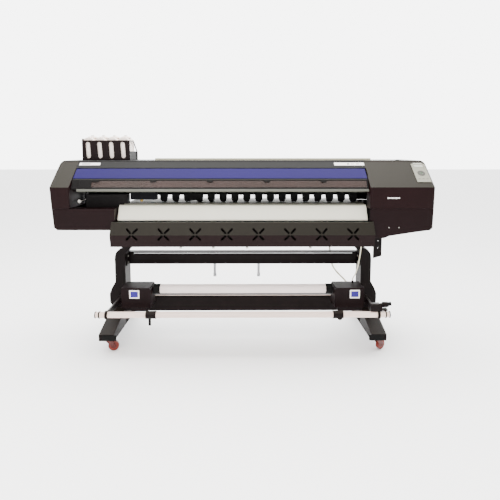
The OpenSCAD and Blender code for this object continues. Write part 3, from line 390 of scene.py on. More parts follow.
# Glossy dark moulding of the ink station.
INK_PANEL = Finish(
    "gloss_abs_dark", "#150a0b", "#0f0707", 0.3,
    grain=Grain.MOULDED, grain_mm=4.0, edge_mm=5.0, coat=0.05, specular=0.1,
)
# Dark grey satin paint of the ink tray, with a painted highlight that makes what faces up paler.
TRAY_COAT = Finish(
    "satin_paint_grey", "#151413", "#11100f", 0.5,
    painted_top_light=0.6, lit="#2b2a27", specular=0.06,
)
# Natural polyethylene of the tanks: milky and soft.
TANK_PE = Finish(
    "blow_moulded_polyethylene", "#f6e9e0", "#ecdcd2", 0.42,
    grain=Grain.MOULDED, cloud_mm=90, edge_mm=4.0,
)
# Printed skin of the control panel: pale grey, finely textured.
PANEL_SKIN = Finish(
    "printed_polycarbonate_grey", "#838276", "#79786c", 0.42,
    grain_mm=2.0, specular=0.15,
)
# Pale display window under glass.
DISPLAY = Finish("display_glass_pale", "#a5a69a", "#989a8e", 0.2, bump_mm=0.0, coat=0.2)
# Moulded keys, one dull green and one grey.
KEY_GREEN = Finish("moulded_key_green", "#4f5c4b", "#465243", 0.4, grain_mm=2.0, specular=0.2)
KEY_GREY = Finish("moulded_key_grey", "#4a4943", "#403f3a", 0.42, grain_mm=2.0, specular=0.2)
# Satin paint of the take-up boxes: very dark brown, painted a little lighter where it faces up, a painted
# highlight of the light from above.
BOX_COAT = Finish(
    "satin_paint_dark_brown", "#100304", "#0a0203", 0.45,
    edge_mm=3.0, painted_top_light=0.4, lit="#1a1413", specular=0.08,
)
# Wound film: fine lines round the roll.
FILM = Finish(
    "wound_coated_film", "#f3e6e2", "#e8d9d6", 0.5,
    grain=Grain.WOUND_X, grain_mm=5.0, cloud_mm=400,
)
# Powder coat of the tension bar: pale, faintly pink.
BAR_COAT = Finish("powder_coat_pale_pink", "#f0d9cf", "#e6ccc0", 0.32, cloud_mm=400)
# Soft PVC of the cables: cream, slightly waxy.
PVC = Finish("soft_pvc_cream", "#efe9cd", "#e2dbbd", 0.45, grain_mm=3.0, cloud_mm=60)
# Vinyl label stock: flat, with an even sheen.
LABEL_WHITE = Finish("vinyl_label_white", "#f1efec", "#e8e5e2", 0.3, bump_mm=0.0)
LABEL_VIOLET = Finish("vinyl_label_violet", "#2a1f7d", "#241a6e", 0.35, bump_mm=0.0, specular=0.2)
# Seamless paper of the studio floor.
FLOOR = Finish("matt_seamless_paper", "#fdfdfd", "#fbfbfb", 0.9, bump_mm=0.0)

CAD_FINISHES: dict[Finish, tuple[str, ...]] = {
    STAND_COAT: (
        "leg_left",
        "leg_right",
        "upper_crossbeam",
        "lower_crossbeam",
        "supply_brackets",
        "drain_bracket",
        "tension_arms",
    ),
    ZINC: ("stand_bolts",),
    TURNED: ("hanger_rods", "drive_pulley", "idler_pulley", "grit_roller", "print_heads"),
    FORK_PAINT: tuple(f"caster_fork_{c}" for c in ("fl", "fr", "rl", "rr")),
    RED_TREAD: tuple(f"caster_wheel_{c}" for c in ("fl", "fr", "rl", "rr")),
    CHASSIS: ("machine_base", "drive_motors"),
    PLATEN_ALU: ("platen",),
    APRON_ENAMEL: ("front_apron",),
    GUIDE_SHEET: ("rear_apron",),
    ANODISED: ("supply_shaft",),
    BEAM_ALU: ("rail_beam",),
    BLACK_RUBBER: ("drive_belt", "pinch_rollers", "cap_station"),
    DARK_FAN: ("dryer_blower",),
    MATT_ABS: ("pinch_arms", "print_carriage", "takeup_spindle"),
    WHITE_ABS: ("loading_lever",),
    CUTTER_ABS: ("cutter_carriage",),
    BRASS: ("blade_holder",),
    COVER_COAT: ("left_cap_upper", "right_cap_upper"),
    LOWER_ABS: ("left_cap_lower", "right_cap_lower"),
    TOP_COAT: ("top_cover",),
    BAND_ACRYLIC: ("lid_band",),
    LID_ABS: ("lid_frame",),
    SMOKED: ("lid_visor",),
    RAIL_LACQUER: ("lid_trim",),
    HOOD_COAT: ("dryer_housing",),
    INK_PANEL: ("ink_cover",),
    TRAY_COAT: ("ink_tray",),
    TANK_PE: ("ink_tanks",),
    PANEL_SKIN: ("control_panel",),
    KEY_GREEN: ("key_enter",),
    KEY_GREY: ("key_nav",),
    BOX_COAT: ("takeup_box_left", "takeup_box_right"),
    FILM: ("takeup_roll",),
    BAR_COAT: ("tension_bar",),
}


def piece(
    name: str, build: bmesh.types.BMesh, finish: Finish, body: str, smooth: bool = False
) -> bpy.types.Object:
    """Turn a finished bmesh into a piece that rides on a body.

    Args:
        name: The piece's name.
        build: The mesh in metres, in the row frame; it is freed.
        finish: The piece's finish.
        body: The CAD body that carries it.
        smooth: Whether faces are shaded smooth.

    Returns:
        The new object.
    """
    bmesh.ops.recalc_face_normals(build, faces=build.faces)
    mesh = bpy.data.meshes.new(name)
    build.to_mesh(mesh)
    build.free()
    mesh.materials.append(finish.material())
    for face in mesh.polygons:
        face.use_smooth = smooth
    made = bpy.data.objects.new(name, mesh)
    bpy.context.scene.collection.objects.link(made)
    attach(made, body)
    return made


def rounded_outline(
    width: float, height: float, radius: float, steps: int = 5
) -> list[tuple[float, float]]:
    """Corner points of a rectangle with round corners, about the origin.

    Args:
        width: Size along the first axis.
        height: Size along the second axis.
        radius: Corner radius.
        steps: Points for each corner, less one.

    Returns:
        The outline, anticlockwise.
    """
    points = []
    for i, (sx, sy) in enumerate(((1, 1), (-1, 1), (-1, -1), (1, -1))):
        for k in range(steps + 1):
            a = math.radians(90 * i + 90 * k / steps)
            x = sx * (width / 2 - radius) + radius * math.cos(a)
            points.append((x, sy * (height / 2 - radius) + radius * math.sin(a)))
    return points


def add_plate(
    build: bmesh.types.BMesh, outline: Outline, place: Matrix, depth: float, bevel: float = 0.0
) -> None:
    """Add a closed plate with a chamfered front rim, in millimetres.

    Args:
        build: The mesh that gets it.
        outline: Points in the plate's own X and Y.
        place: Matrix from the plate's frame, in millimetres, to the row frame, in millimetres.
        depth: Thickness along the plate's +Z.
        bevel: Chamfer of the front rim.
    """
    cx = sum(p[0] for p in outline) / len(outline)
    cy = sum(p[1] for p in outline) / len(outline)
    rings = [(0.0, 0.0), (0.0, depth - bevel), (bevel, depth)] if bevel else [(0.0, 0.0), (0.0, depth)]
    loops = []
    for inset, z in rings:
        loop = []
        for x, y in outline:
            reach = math.hypot(x - cx, y - cy) or 1.0
            k = 1 - inset / reach
            corner = Vector((cx + (x - cx) * k, cy + (y - cy) * k, z))
            loop.append(build.verts.new((place @ corner) * MM))
        loops.append(loop)
    n = len(outline)
    for low, high in zip(loops, loops[1:]):
        for i in range(n):
            build.faces.new((low[i], low[(i + 1) % n], high[(i + 1) % n], high[i]))
    build.faces.new(loops[-1])
    build.faces.new(list(reversed(loops[0])))


def add_lathe(build: bmesh.types.BMesh, profile: Outline, place: Matrix, steps: int = 24) -> None:
    """Add a closed turned form, in millimetres.

    Args:
        build: The mesh that gets it.
        profile: Radius and height pairs from the bottom up; the ends are closed.
        place: Matrix whose Z is the turning axis.
        steps: Segments round the axis.
    """
    turns = [2 * math.pi * k / steps for k in range(steps)]
    rings = []
    for radius, height in profile:
        spots = [Vector((radius * math.cos(t), radius * math.sin(t), height)) for t in turns]
        rings.append([build.verts.new((place @ spot) * MM) for spot in spots])
    for low, high in zip(rings, rings[1:]):
        for k in range(steps):
            build.faces.new((low[k], low[(k + 1) % steps], high[(k + 1) % steps], high[k]))
    build.faces.new(rings[-1])
    build.faces.new(list(reversed(rings[0])))


def plate_piece(
    name: str, finish: Finish, body: str, *plates: tuple[Outline, Matrix, float, float]
) -> bpy.types.Object:
    """Make one piece out of plates.

    Args:
        name: The piece's name.
        finish: The piece's finish.
        body: The CAD body that carries it.
        plates: Outline, frame, thickness and chamfer of each plate.

    Returns:
        The new object.
    """
    build = bmesh.new()
    for outline, place, depth, bevel in plates:
        add_plate(build, outline, place, depth, bevel)
    return piece(name, build, finish, body)


def plate_form(outline: Outline, depth: float, bevel: float = 0.0) -> bmesh.types.BMesh:
    """Make a plate at the origin, to be copied.

    Args:
        outline: Points in the plate's own X and Y.
        depth: Thickness along +Z.
        bevel: Chamfer of the front rim.

    Returns:
        The plate's mesh.
    """
    form = bmesh.new()
    add_plate(form, outline, Matrix.Identity(4), depth, bevel)
    return form


def shift(x: float, y: float, z: float) -> Matrix:
    """Plain move, in millimetres."""
    return Matrix.Translation((x, y, z))


def facing_front(x: float, y: float, z: float) -> Matrix:
    """Frame at a point whose X is right, Y is up and Z comes to the front."""
    return shift(x, y, z) @ UPRIGHT


def facing_back(x: float, y: float, z: float) -> Matrix:
    """Frame at a point whose X is left, Y is up and Z goes to the back."""
    return shift(x, y, z) @ Matrix.Rotation(math.pi, 4, "Z") @ UPRIGHT


def facing_side(x: float, y: float, z: float, angle: float = 90.0) -> Matrix:
    """Frame at a point whose Z is turned about Y from up to the right by an angle."""
    return shift(x, y, z) @ Matrix.Rotation(math.radians(angle), 4, "Y")


def corners(node: str) -> tuple[Vector, Vector]:
    """Lowest and highest corner of a CAD node, in millimetres."""
    low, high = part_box(node)
    return low / MM, high / MM


def joint_axis(name: str) -> Vector:
    """The axis of one of the frame's joints."""
    return Vector(next(j["axis"] for j in frame["joints"] if j["name"] == name))


@dataclass
class Slope:
    """The slanted front of the covers: X along the machine, Y up the slope, Z out of it.

    Attributes:
        panel_t: Thickness of the control panel that lies on the slope.
        place: Frame of the slope at the control panel's upper edge.
        rise: Angle of the slope.
    """

    panel_t: float = 4.0
    place: Matrix = field(init=False)
    rise: float = field(init=False)

    def __post_init__(self) -> None:
        """Find the plane from the enter key's travel and the control panel's upper edge."""
        inward = joint_axis("enter_press")
        self.rise = math.atan2(inward.y, -inward.z)
        _, high = corners("control_panel")
        edge = Vector((0.0, high.y, high.z - self.panel_t * math.cos(self.rise)))
        self.place = Matrix.Translation(edge) @ Matrix.Rotation(self.rise, 4, "X")

    def at(self, x: float, down: float, out: float = 0.0) -> Matrix:
        """Frame at a distance down the slope from the control panel's upper edge."""
        return self.place @ Matrix.Translation((x, -down, out))


@dataclass
class Scatter:
    """A Geometry Nodes tree that copies one small form to many places as one plain mesh."""

    name: str
    finish: Finish
    body: str

    def grid(
        self, form: bmesh.types.BMesh, start: Matrix, count: tuple[int, int], pitch: tuple[float, float]
    ) -> bpy.types.Object:
        """Place copies on a grid in the start frame's X and Y.

        Args:
            form: The form round its own origin; it is freed.
            start: Frame of the first copy, in millimetres.
            count: Copies along X and Y.
            pitch: Distances along X and Y, in millimetres.

        Returns:
            The finished piece.
        """
        steps = [(i, j) for i in range(count[0]) for j in range(count[1])]
        spots = [start @ Vector((i * pitch[0], j * pitch[1], 0.0)) for i, j in steps]
        return self.points(form, start.to_3x3().to_4x4(), spots)

    def points(
        self, form: bmesh.types.BMesh, turn: Matrix, spots: Iterable[Vector]
    ) -> bpy.types.Object:
        """Place copies of a form at points.

        Args:
            form: The form round its own origin; it is freed.
            turn: Turn that all copies share.
            spots: Places in millimetres.

        Returns:
            The finished piece.
        """
        bmesh.ops.transform(form, matrix=turn, verts=form.verts)
        bmesh.ops.recalc_face_normals(form, faces=form.faces)
        shape = bpy.data.meshes.new(self.name + "_form")
        form.to_mesh(shape)
        form.free()
        shape.materials.append(self.finish.material())
        source = bpy.data.objects.new(self.name + "_form", shape)
        bpy.context.scene.collection.objects.link(source)
        cloud = bpy.data.meshes.new(self.name)
        cloud.from_pydata([tuple(s * MM) for s in spots], [], [])
        carrier = bpy.data.objects.new(self.name + "_carrier", cloud)
        bpy.context.scene.collection.objects.link(carrier)
        modifier = carrier.modifiers.new("scatter", "NODES")
        modifier.node_group = self.tree()
        for item in modifier.node_group.interface.items_tree:
            if item.item_type == "SOCKET" and item.in_out == "INPUT":
                if item.name == "Form":
                    modifier[item.identifier] = source
                elif item.name == "Finish":
                    modifier[item.identifier] = self.finish.material()
        graph = bpy.context.evaluated_depsgraph_get()
        mesh = bpy.data.meshes.new_from_object(carrier.evaluated_get(graph))
        mesh.name = self.name
        carrier.modifiers.clear()
        bpy.data.objects.remove(carrier)
        bpy.data.objects.remove(source)
        made = bpy.data.objects.new(self.name, mesh)
        bpy.context.scene.collection.objects.link(made)
        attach(made, self.body)
        return made

    def tree(self) -> bpy.types.NodeTree:
        """Build the tree once: copies on points, made real, with a finish.

        Returns:
            The tree, with the form and the finish as its named inputs.
        """
        made = bpy.data.node_groups.get("scatter_copies")
        if made:
            return made
        made = bpy.data.node_groups.new("scatter_copies", "GeometryNodeTree")
        made.interface.new_socket("Geometry", in_out="INPUT", socket_type="NodeSocketGeometry")
        made.interface.new_socket("Form", in_out="INPUT", socket_type="NodeSocketObject")
        made.interface.new_socket("Finish", in_out="INPUT", socket_type="NodeSocketMaterial")
        made.interface.new_socket("Geometry", in_out="OUTPUT", socket_type="NodeSocketGeometry")
        given = add_node(made, "NodeGroupInput")
        form = add_node(made, "GeometryNodeObjectInfo", {"Object": given.outputs["Form"]})
        copies = add_node(
            made,
            "GeometryNodeInstanceOnPoints",
            {"Points": given.outputs["Geometry"], "Instance": form.outputs["Geometry"]},
        )
        real = add_node(made, "GeometryNodeRealizeInstances", {"Geometry": copies.outputs["Instances"]})
        dressed = add_node(
            made,
            "GeometryNodeSetMaterial",
            {"Geometry": real.outputs["Geometry"], "Material": given.outputs["Finish"]},
        )
        add_node(made, "NodeGroupOutput", {"Geometry": dressed.outputs["Geometry"]})
        return made


def screw_form(radius: float = 5.0) -> bmesh.types.BMesh:
    """Make a pan head with a recess, standing on its own Z.

    Args:
        radius: Radius of the head.

    Returns:
        The head's mesh.
    """
    form = bmesh.new()
    shares = ((1, 0), (1, 0.25), (0.75, 0.6), (0.3, 0.7), (0.2, 0.45))
    add_lathe(form, [(radius * r, radius * h) for r, h in shares], Matrix.Identity(4), 10)
    return form


@dataclass
class Camera:
    """The view from in front, at standing height.

    Attributes:
        place: Where it stands, in millimetres.
        pitch: How far it looks down, in degrees.
        yaw: How far it looks to the right, in degrees.
        sensor: Sensor width in millimetres.
        focal: Focal length as a share of the sensor's width.
        shift_y: Vertical shift of the lens.
    """

    place: Place = (33.3, -3373.0, 1418.0)
    pitch: float = 6.08
    yaw: float = 0.32
    sensor: float = 36.0
    focal: float = 444.7 / 500
    shift_y: float = -0.1045

    def build(self) -> None:
        """Make the camera and the scene's active view."""
        data = bpy.data.cameras.new("front_camera")
        data.sensor_width = self.sensor
        data.lens = self.focal * self.sensor
        data.shift_y = self.shift_y
        made = bpy.data.objects.new("front_camera", data)
        made.location = Vector(self.place) * MM
        made.rotation_euler = (math.radians(90 - self.pitch), 0.0, math.radians(-self.yaw))
        bpy.context.scene.collection.objects.link(made)
        bpy.context.scene.camera = made


@dataclass
class Studio:
    """Pale floor, sky fill and soft boxes.

    Attributes:
        floor_size: Side of the floor, in metres.
        back_glow: Strength of the sky behind the machine.
        front_glow: Strength of the sky in front of it.
        boxes: Name, place, aim, size, power and tint of each soft box, in metres and watts.
    """

    floor_size: float = 60.0
    back_glow: float = 6.5
    front_glow: float = 0.22
    boxes: tuple[tuple[str, Place, Place, float, float, Place], ...] = (
        ("top_box", (0.0, -0.6, 4.2), (0.0, 0.0, 0.6), 4.5, 400.0, (1.0, 0.98, 0.95)),
        ("front_box", (-1.6, -4.6, 3.4), (0.0, 0.0, 0.8), 3.0, 210.0, (1.0, 0.97, 0.94)),
    )

    def build(self) -> None:
        """Make the floor, the sky and the lights."""
        ground = bmesh.new()
        bmesh.ops.create_grid(ground, x_segments=1, y_segments=1, size=self.floor_size / 2)
        mesh = bpy.data.meshes.new("studio_floor")
        ground.to_mesh(mesh)
        ground.free()
        mesh.materials.append(FLOOR.material())
        floor = bpy.data.objects.new("studio_floor", mesh)
        bpy.context.scene.collection.objects.link(floor)
        self.sky()
        for name, place, aim, size, power, tint in self.boxes:
            lamp = bpy.data.lights.new(name, "AREA")
            lamp.size, lamp.energy, lamp.color = size, power, tint
            made = bpy.data.objects.new(name, lamp)
            made.location = place
            made.rotation_euler = (Vector(aim) - Vector(place)).to_track_quat("-Z", "Y").to_euler()
            bpy.context.scene.collection.objects.link(made)

    def sky(self) -> None:
        """Make a sky that is bright behind the machine and dim in front, so dark faces stay dark."""
        world = bpy.data.worlds.new("studio_sky")
        world.use_nodes = True
        tree = world.node_tree
        tree.nodes.clear()
        direction = add_node(tree, "ShaderNodeTexCoord").outputs["Generated"]
        toward = add_node(tree, "ShaderNodeSeparateXYZ", {"Vector": direction})
        glow = add_node(
            tree,
            "ShaderNodeMapRange",
            {
                "Value": toward.outputs["Y"],
                "From Min": -0.35,
                "From Max": 0.3,
                "To Min": self.front_glow,
                "To Max": self.back_glow,
            },
        )
        light = add_node(tree, "ShaderNodeBackground", {"Strength": glow.outputs["Result"]})
        light.inputs["Color"].default_value = (1.0, 1.0, 1.0, 1.0)
        add_node(tree, "ShaderNodeOutputWorld", {"Surface": light.outputs["Background"]})
        bpy.context.scene.world = world


@dataclass
class Cable:
    """One free cable that follows its route.

    Attributes:
        name: The cable's name.
        node: The CAD node that it stands for.
        route: Points along its middle, in millimetres.
        diameter: Its thickness.
        stiffness: How stiff it is: limp, medium or stiff; not used.
    """

    name: str
    node: str
    route: tuple[Place, ...]
    diameter: float
    stiffness: str

    def build(self) -> bpy.types.Object:
        """Returns:
            The cable.
        """
        data = bpy.data.curves.new(self.name, "CURVE")
        data.dimensions = "3D"
        data.bevel_depth = self.diameter / 2 * MM
        data.bevel_resolution = 3
        data.use_fill_caps = True
        line = data.splines.new("POLY")
        line.points.add(len(self.route) - 1)
        for spot, at in zip(line.points, self.route):
            spot.co = (*(Vector(at) * MM), 1.0)
        data.materials.append(PVC.material())
        made = bpy.data.objects.new(self.name, data)
        bpy.context.scene.collection.objects.link(made)
        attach(made, "machine")
        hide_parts(self.node)
        return made


@dataclass
class Cables:
    """The cream bundle and the single cable that feed the right take-up box."""

    bundle: tuple[Place, ...] = (
        (690, 150, 858), (690, 150, 830), (690, 150, 790), (691, 149, 740), (692, 147, 690), (694, 143, 640),
        (697, 136, 590), (702, 124, 545), (709, 104, 512), (718, 74, 490), (728, 38, 476), (739, -2, 466),
        (749, -42, 459), (758, -80, 453), (766, -112, 446), (770, -136, 442), (770, -154, 442),
    )
    single: tuple[Place, ...] = (
        (866, -185, 858), (866, -185, 830), (866, -185, 790), (865, -186, 745), (861, -187, 700),
        (855, -189, 655), (848, -191, 610), (839, -193, 568), (829, -195, 535), (820, -197, 512),
        (809, -199, 496), (802, -200, 484), (802, -200, 470),
    )

    def build(self) -> None:
        """Make both cables."""
        Cable("cable_bundle_run", "cable_bundle", self.bundle, 13.0, "medium").build()
        Cable("cable_single_run", "cable_single", self.single, 8.0, "medium").build()


@dataclass
class Lid:
    """Clips and finger pulls of the slanted lid, and the cover on its left end.

    Attributes:
        clips: First place along the machine, pitch and count of the clips.
        clip_outline: Shape of a clip, with a sloped foot on both sides.
        cover_outline: Shape of the end cover, with a notch for the visor.
        cover_lap: How far the cover laps over the visor's end.
        pulls: Places of the finger pulls along the machine.
        pull_size: Width, height and corner radius of a pull.
        visor_t: Thickness of the visor.
    """

    clips: tuple[float, float, int] = (-1017.0, 395.0, 5)
    clip_outline: Outline = ((-28, 4), (-17, -11), (-12, -13), (12, -13), (17, -11), (28, 4))
    cover_outline: Outline = ((0, 2), (0, -56), (96, -56), (84, -46), (84, -14), (104, 2))
    cover_lap: float = 2.0
    pulls: tuple[float, ...] = (-662.0, 681.0)
    pull_size: tuple[float, float, float] = (46.0, 12.0, 5.0)
    visor_t: float = 2.7

    def build(self) -> None:
        """Add the clips, the end cover and the pulls."""
        low, high = corners("lid_visor")
        lean = Matrix.Rotation(math.atan2(high.z - low.z, high.y - low.y), 4, "X")
        edge = shift(0.0, high.y - self.visor_t, high.z) @ lean
        first, pitch, count = self.clips
        clip = plate_form(self.clip_outline, 6, 2)
        Scatter("lid_clips", LID_ABS, "lid").grid(clip, shift(first, 0, 0) @ edge, (count, 1), (pitch, 0))
        place = shift(low.x - self.cover_lap, 0, 0) @ edge
        plate_piece("lid_end_cover", LID_ABS, "lid", (self.cover_outline, place, 4, 1.5))
        for i, x in enumerate(self.pulls):
            place = shift(x, low.y - 1, low.z - 5) @ lean
            plate_piece(f"lid_pull_{i}", LID_ABS, "lid", (rounded_outline(*self.pull_size), place, 4, 1.5))


@dataclass
class Labels:
    """Blank label stock: white rims with violet centres, and dark marks on the strip.

    Attributes:
        slope: The slanted front.
        strip_down: Where the strip's labels lie on the slope.
        strips: Name, place along the machine, width and height of each label on the strip.
        marks: Place along the machine, width and height of each dark mark.
        boxes: Side and place along the machine of each take-up box's label.
        box_height: Height of those labels above the floor.
        box_size: Their width and height.
        field_size: Width and height of their violet field.
        bar_step: Distance of the field's raised bars from its middle.
    """

    slope: Slope
    strip_down: float = -2.0
    strips: tuple[tuple[str, float, float, float], ...] = (("right", 769, 216, 30), ("left", -1104, 150, 26))
    marks: tuple[Place, ...] = ((762, 16, 12), (788, 5, 9), (798, 5, 9), (830, 22, 6), (-1130, 60, 8))
    boxes: tuple[tuple[str, float], ...] = (("left", -764), ("right", 790))
    box_height: float = 410.0
    box_size: tuple[float, float] = (70.0, 60.0)
    field_size: tuple[float, float] = (52.0, 42.0)
    bar_step: float = 6.0

    def sticker(self, name: str, at: Matrix, width: float, height: float) -> None:
        """Add one white label.

        Args:
            name: The label's name.
            at: Frame of its middle.
            width: Size across.
            height: Size up.
        """
        plate_piece(name, LABEL_WHITE, "machine", (rounded_outline(width, height, 2.5), at, 0.5, 0))

    def violet(self, name: str, at: Matrix) -> None:
        """Add a violet field with two raised bars.

        Args:
            name: The field's name.
            at: Frame of the label's middle.
        """
        plates = [(rounded_outline(*self.field_size, 1.5), at @ shift(0, 0, 0.5), 0.3, 0)]
        bar = rounded_outline(self.field_size[0] - 16, 3.0, 1.2)
        plates += [(bar, at @ shift(0, k * self.bar_step, 0.8), 0.2, 0) for k in (-1, 1)]
        plate_piece(name, LABEL_VIOLET, "machine", *plates)

    def build(self) -> None:
        """Add the strip's and the take-up boxes' labels."""
        for side, x, width, height in self.strips:
            self.sticker(f"label_strip_{side}", self.slope.at(x, self.strip_down), width, height)
        marks = [
            (rounded_outline(wide, tall, 2), self.slope.at(x, self.strip_down, 0.5), 0.3, 0)
            for x, wide, tall in self.marks
        ]
        plate_piece("label_marks", MATT_ABS, "machine", *marks)
        for side, x in self.boxes:
            low, _ = corners(f"takeup_box_{side}")
            at = facing_front(x, low.y, self.box_height)
            self.sticker(f"label_box_{side}", at, *self.box_size)
            self.violet(f"label_box_{side}_field", at)


@dataclass
class ControlPanel:
    """Display and key legends of the control panel.

    Attributes:
        slope: The slanted front.
        display: Width, height and corner radius of the display.
        display_down: Distance of the display's middle down the slope.
        legend: Width, height and corner radius of a legend.
        legend_down: Distance of the legends down the slope.
        legend_pitch: Distance between legends.
    """

    slope: Slope
    display: tuple[float, float, float] = (64.0, 42.0, 2.0)
    display_down: float = 12.0
    legend: tuple[float, float, float] = (14.0, 5.0, 1.5)
    legend_down: float = 160.0
    legend_pitch: float = 28.0

    def build(self) -> None:
        """Add the display and the legends."""
        low, high = corners("control_panel")
        x = (low.x + high.x) / 2
        at = self.slope.at(x, self.display_down, 3.0)
        plate_piece("panel_display", DISPLAY, "machine", (rounded_outline(*self.display), at, 0.6, 0))
        places = [self.slope.at(x + i * self.legend_pitch, self.legend_down, 4.0) for i in (-1, 0, 1)]
        legends = [(rounded_outline(*self.legend), place, 0.4, 0) for place in places]
        plate_piece("panel_legends", KEY_GREY, "machine", *legends)


@dataclass
class Screws:
    """Pan-head screws on the front of the right lower cover.

    Attributes:
        spots: Places along the machine and above the floor.
    """

    spots: tuple[tuple[float, float], ...] = ((1012.0, 887.0), (1081.0, 887.0))

    def build(self) -> None:
        """Scatter the screws."""
        cap, _ = corners("right_cap_lower")
        spots = [Vector((x, cap.y, z)) for x, z in self.spots]
        Scatter("cover_screws", ZINC, "machine").points(screw_form(), UPRIGHT, spots)


@dataclass
class InkStation:
    """Domed tank tops with caps, and the foam sealing strip under the tray.

    Attributes:
        count: Number of tanks.
        sink: How far a dome sinks into its tank.
        cap_profile: Radii and heights of a cap.
    """

    count: int = 4
    sink: float = 3.0
    cap_profile: Outline = ((11, 0), (11.5, 1), (11.5, 5), (10.5, 6), (4, 6.4))

    def build(self) -> None:
        """Add the domes, the caps and the strip."""
        low, high = corners("ink_tanks")
        pitch = (high.x - low.x) / self.count
        middle = (low.y + high.y) / 2
        reach = pitch / 2 - 2
        dome = ((reach, 0), (reach, 4), (reach - 4, 9), (reach - 12, 13), (13, 15), (13, 17))
        domes, caps = bmesh.new(), bmesh.new()
        for i in range(self.count):
            at = shift(low.x + pitch * (i + 0.5), middle, high.z - self.sink)
            add_lathe(domes, dome, at, 28)
            add_lathe(caps, self.cap_profile, at @ shift(0, 0, 17.2), 24)
        piece("tank_domes", domes, TANK_PE, "machine", True)
        piece("tank_caps", caps, WHITE_ABS, "machine")
        low, high = corners("ink_tray")
        strip = rounded_outline(high.x - low.x - 8, 4, 1.5)
        at = facing_front((low.x + high.x) / 2, low.y, low.z + 3)
        plate_piece("tray_foam_strip", BLACK_RUBBER, "machine", (strip, at, 1.5, 0.5))


@dataclass
class Platen:
    """Suction holes in the platen, the scale along its front and the sheet behind the pinch arms.

    Attributes:
        rows: Distances of the hole rows from the platen's front.
        pitch: Distance between holes.
        margin: Distance of the first hole and mark from the platen's end.
        hole: Radii and heights of a hole's dark disc.
        mark_pitch: Distance between the scale's marks.
        skirt_ends: Distance of the sheet's left end from the chassis end, and its right end.
        skirt_at: Where the sheet's lower edge lies, front to back and above the floor.
        skirt_outline: The sheet's folded section.
    """

    rows: tuple[float, ...] = (16.0, 34.0, 52.0)
    pitch: float = 15.0
    margin: float = 30.0
    hole: Outline = ((2.2, 0), (2.2, 0.25), (1.4, 0.3))
    mark_pitch: float = 10.0
    skirt_ends: tuple[float, float] = (90.0, 930.0)
    skirt_at: tuple[float, float] = (-36.0, 1094.0)
    skirt_outline: Outline = ((0, 0), (1.5, 0), (1.5, 36), (-18, 36), (-18, 34.5), (0, 34.5))

    def build(self) -> None:
        """Scatter the holes, lay the scale and hang the sheet."""
        low, high = corners("platen")
        inner = high.x - low.x - 2 * self.margin
        form = bmesh.new()
        add_lathe(form, self.hole, Matrix.Identity(4), 10)
        start = shift(low.x + self.margin, low.y + self.rows[0], high.z - 0.1)
        steps = (self.pitch, self.rows[1] - self.rows[0])
        holes = Scatter("suction_holes", BLACK_RUBBER, "machine")
        holes.grid(form, start, (int(inner / self.pitch), len(self.rows)), steps)
        start = shift(low.x + self.margin, low.y + 5, high.z)
        scale = Scatter("front_scale", BLACK_RUBBER, "machine")
        mark = plate_form(rounded_outline(0.6, 4, 0.2, 1), 0.2)
        scale.grid(mark, start, (int(inner / self.mark_pitch), 1), (self.mark_pitch, 0))
        self.skirt()

    def skirt(self) -> None:
        """Add the folded sheet that hangs behind the pinch arms and shuts off the view to the back."""
        left, _ = corners("machine_base")
        first, last = left.x + self.skirt_ends[0], self.skirt_ends[1]
        at = shift(first, *self.skirt_at) @ SWEPT
        plate_piece("rail_skirt", CHASSIS, "machine", (self.skirt_outline, at, last - first, 0))


@dataclass
class Wheels:
    """Hub caps on the caster wheels, with a ring and a rivet.

    Attributes:
        places: The four casters.
        face: Distance of the wheel's face from its middle.
        profile: Radii and heights of a cap above the face.
    """

    places: tuple[str, ...] = ("fl", "fr", "rl", "rr")
    face: float = 12.0
    profile: Outline = ((20, -0.5), (20, 0.3), (18.5, 0.7), (17, 0.1), (9, 0.1), (8, 0.9), (3, 1.2))

    def build(self) -> None:
        """Add a cap on both sides of each wheel."""
        profile = [(radius, self.face + height) for radius, height in self.profile]
        for place in self.places:
            low, high = corners(f"caster_wheel_{place}")
            across = next(j for j in frame["joints"] if j["child"] == f"wheel_{place}")["axis"]
            turn = Vector(across).to_track_quat("Z", "Y").to_matrix().to_4x4()
            caps = bmesh.new()
            for side in (0.0, math.pi):
                at = Matrix.Translation((low + high) / 2) @ turn @ Matrix.Rotation(side, 4, "X")
                add_lathe(caps, profile, at, 24)
            piece(f"wheel_caps_{place}", caps, FORK_PAINT, f"wheel_{place}")


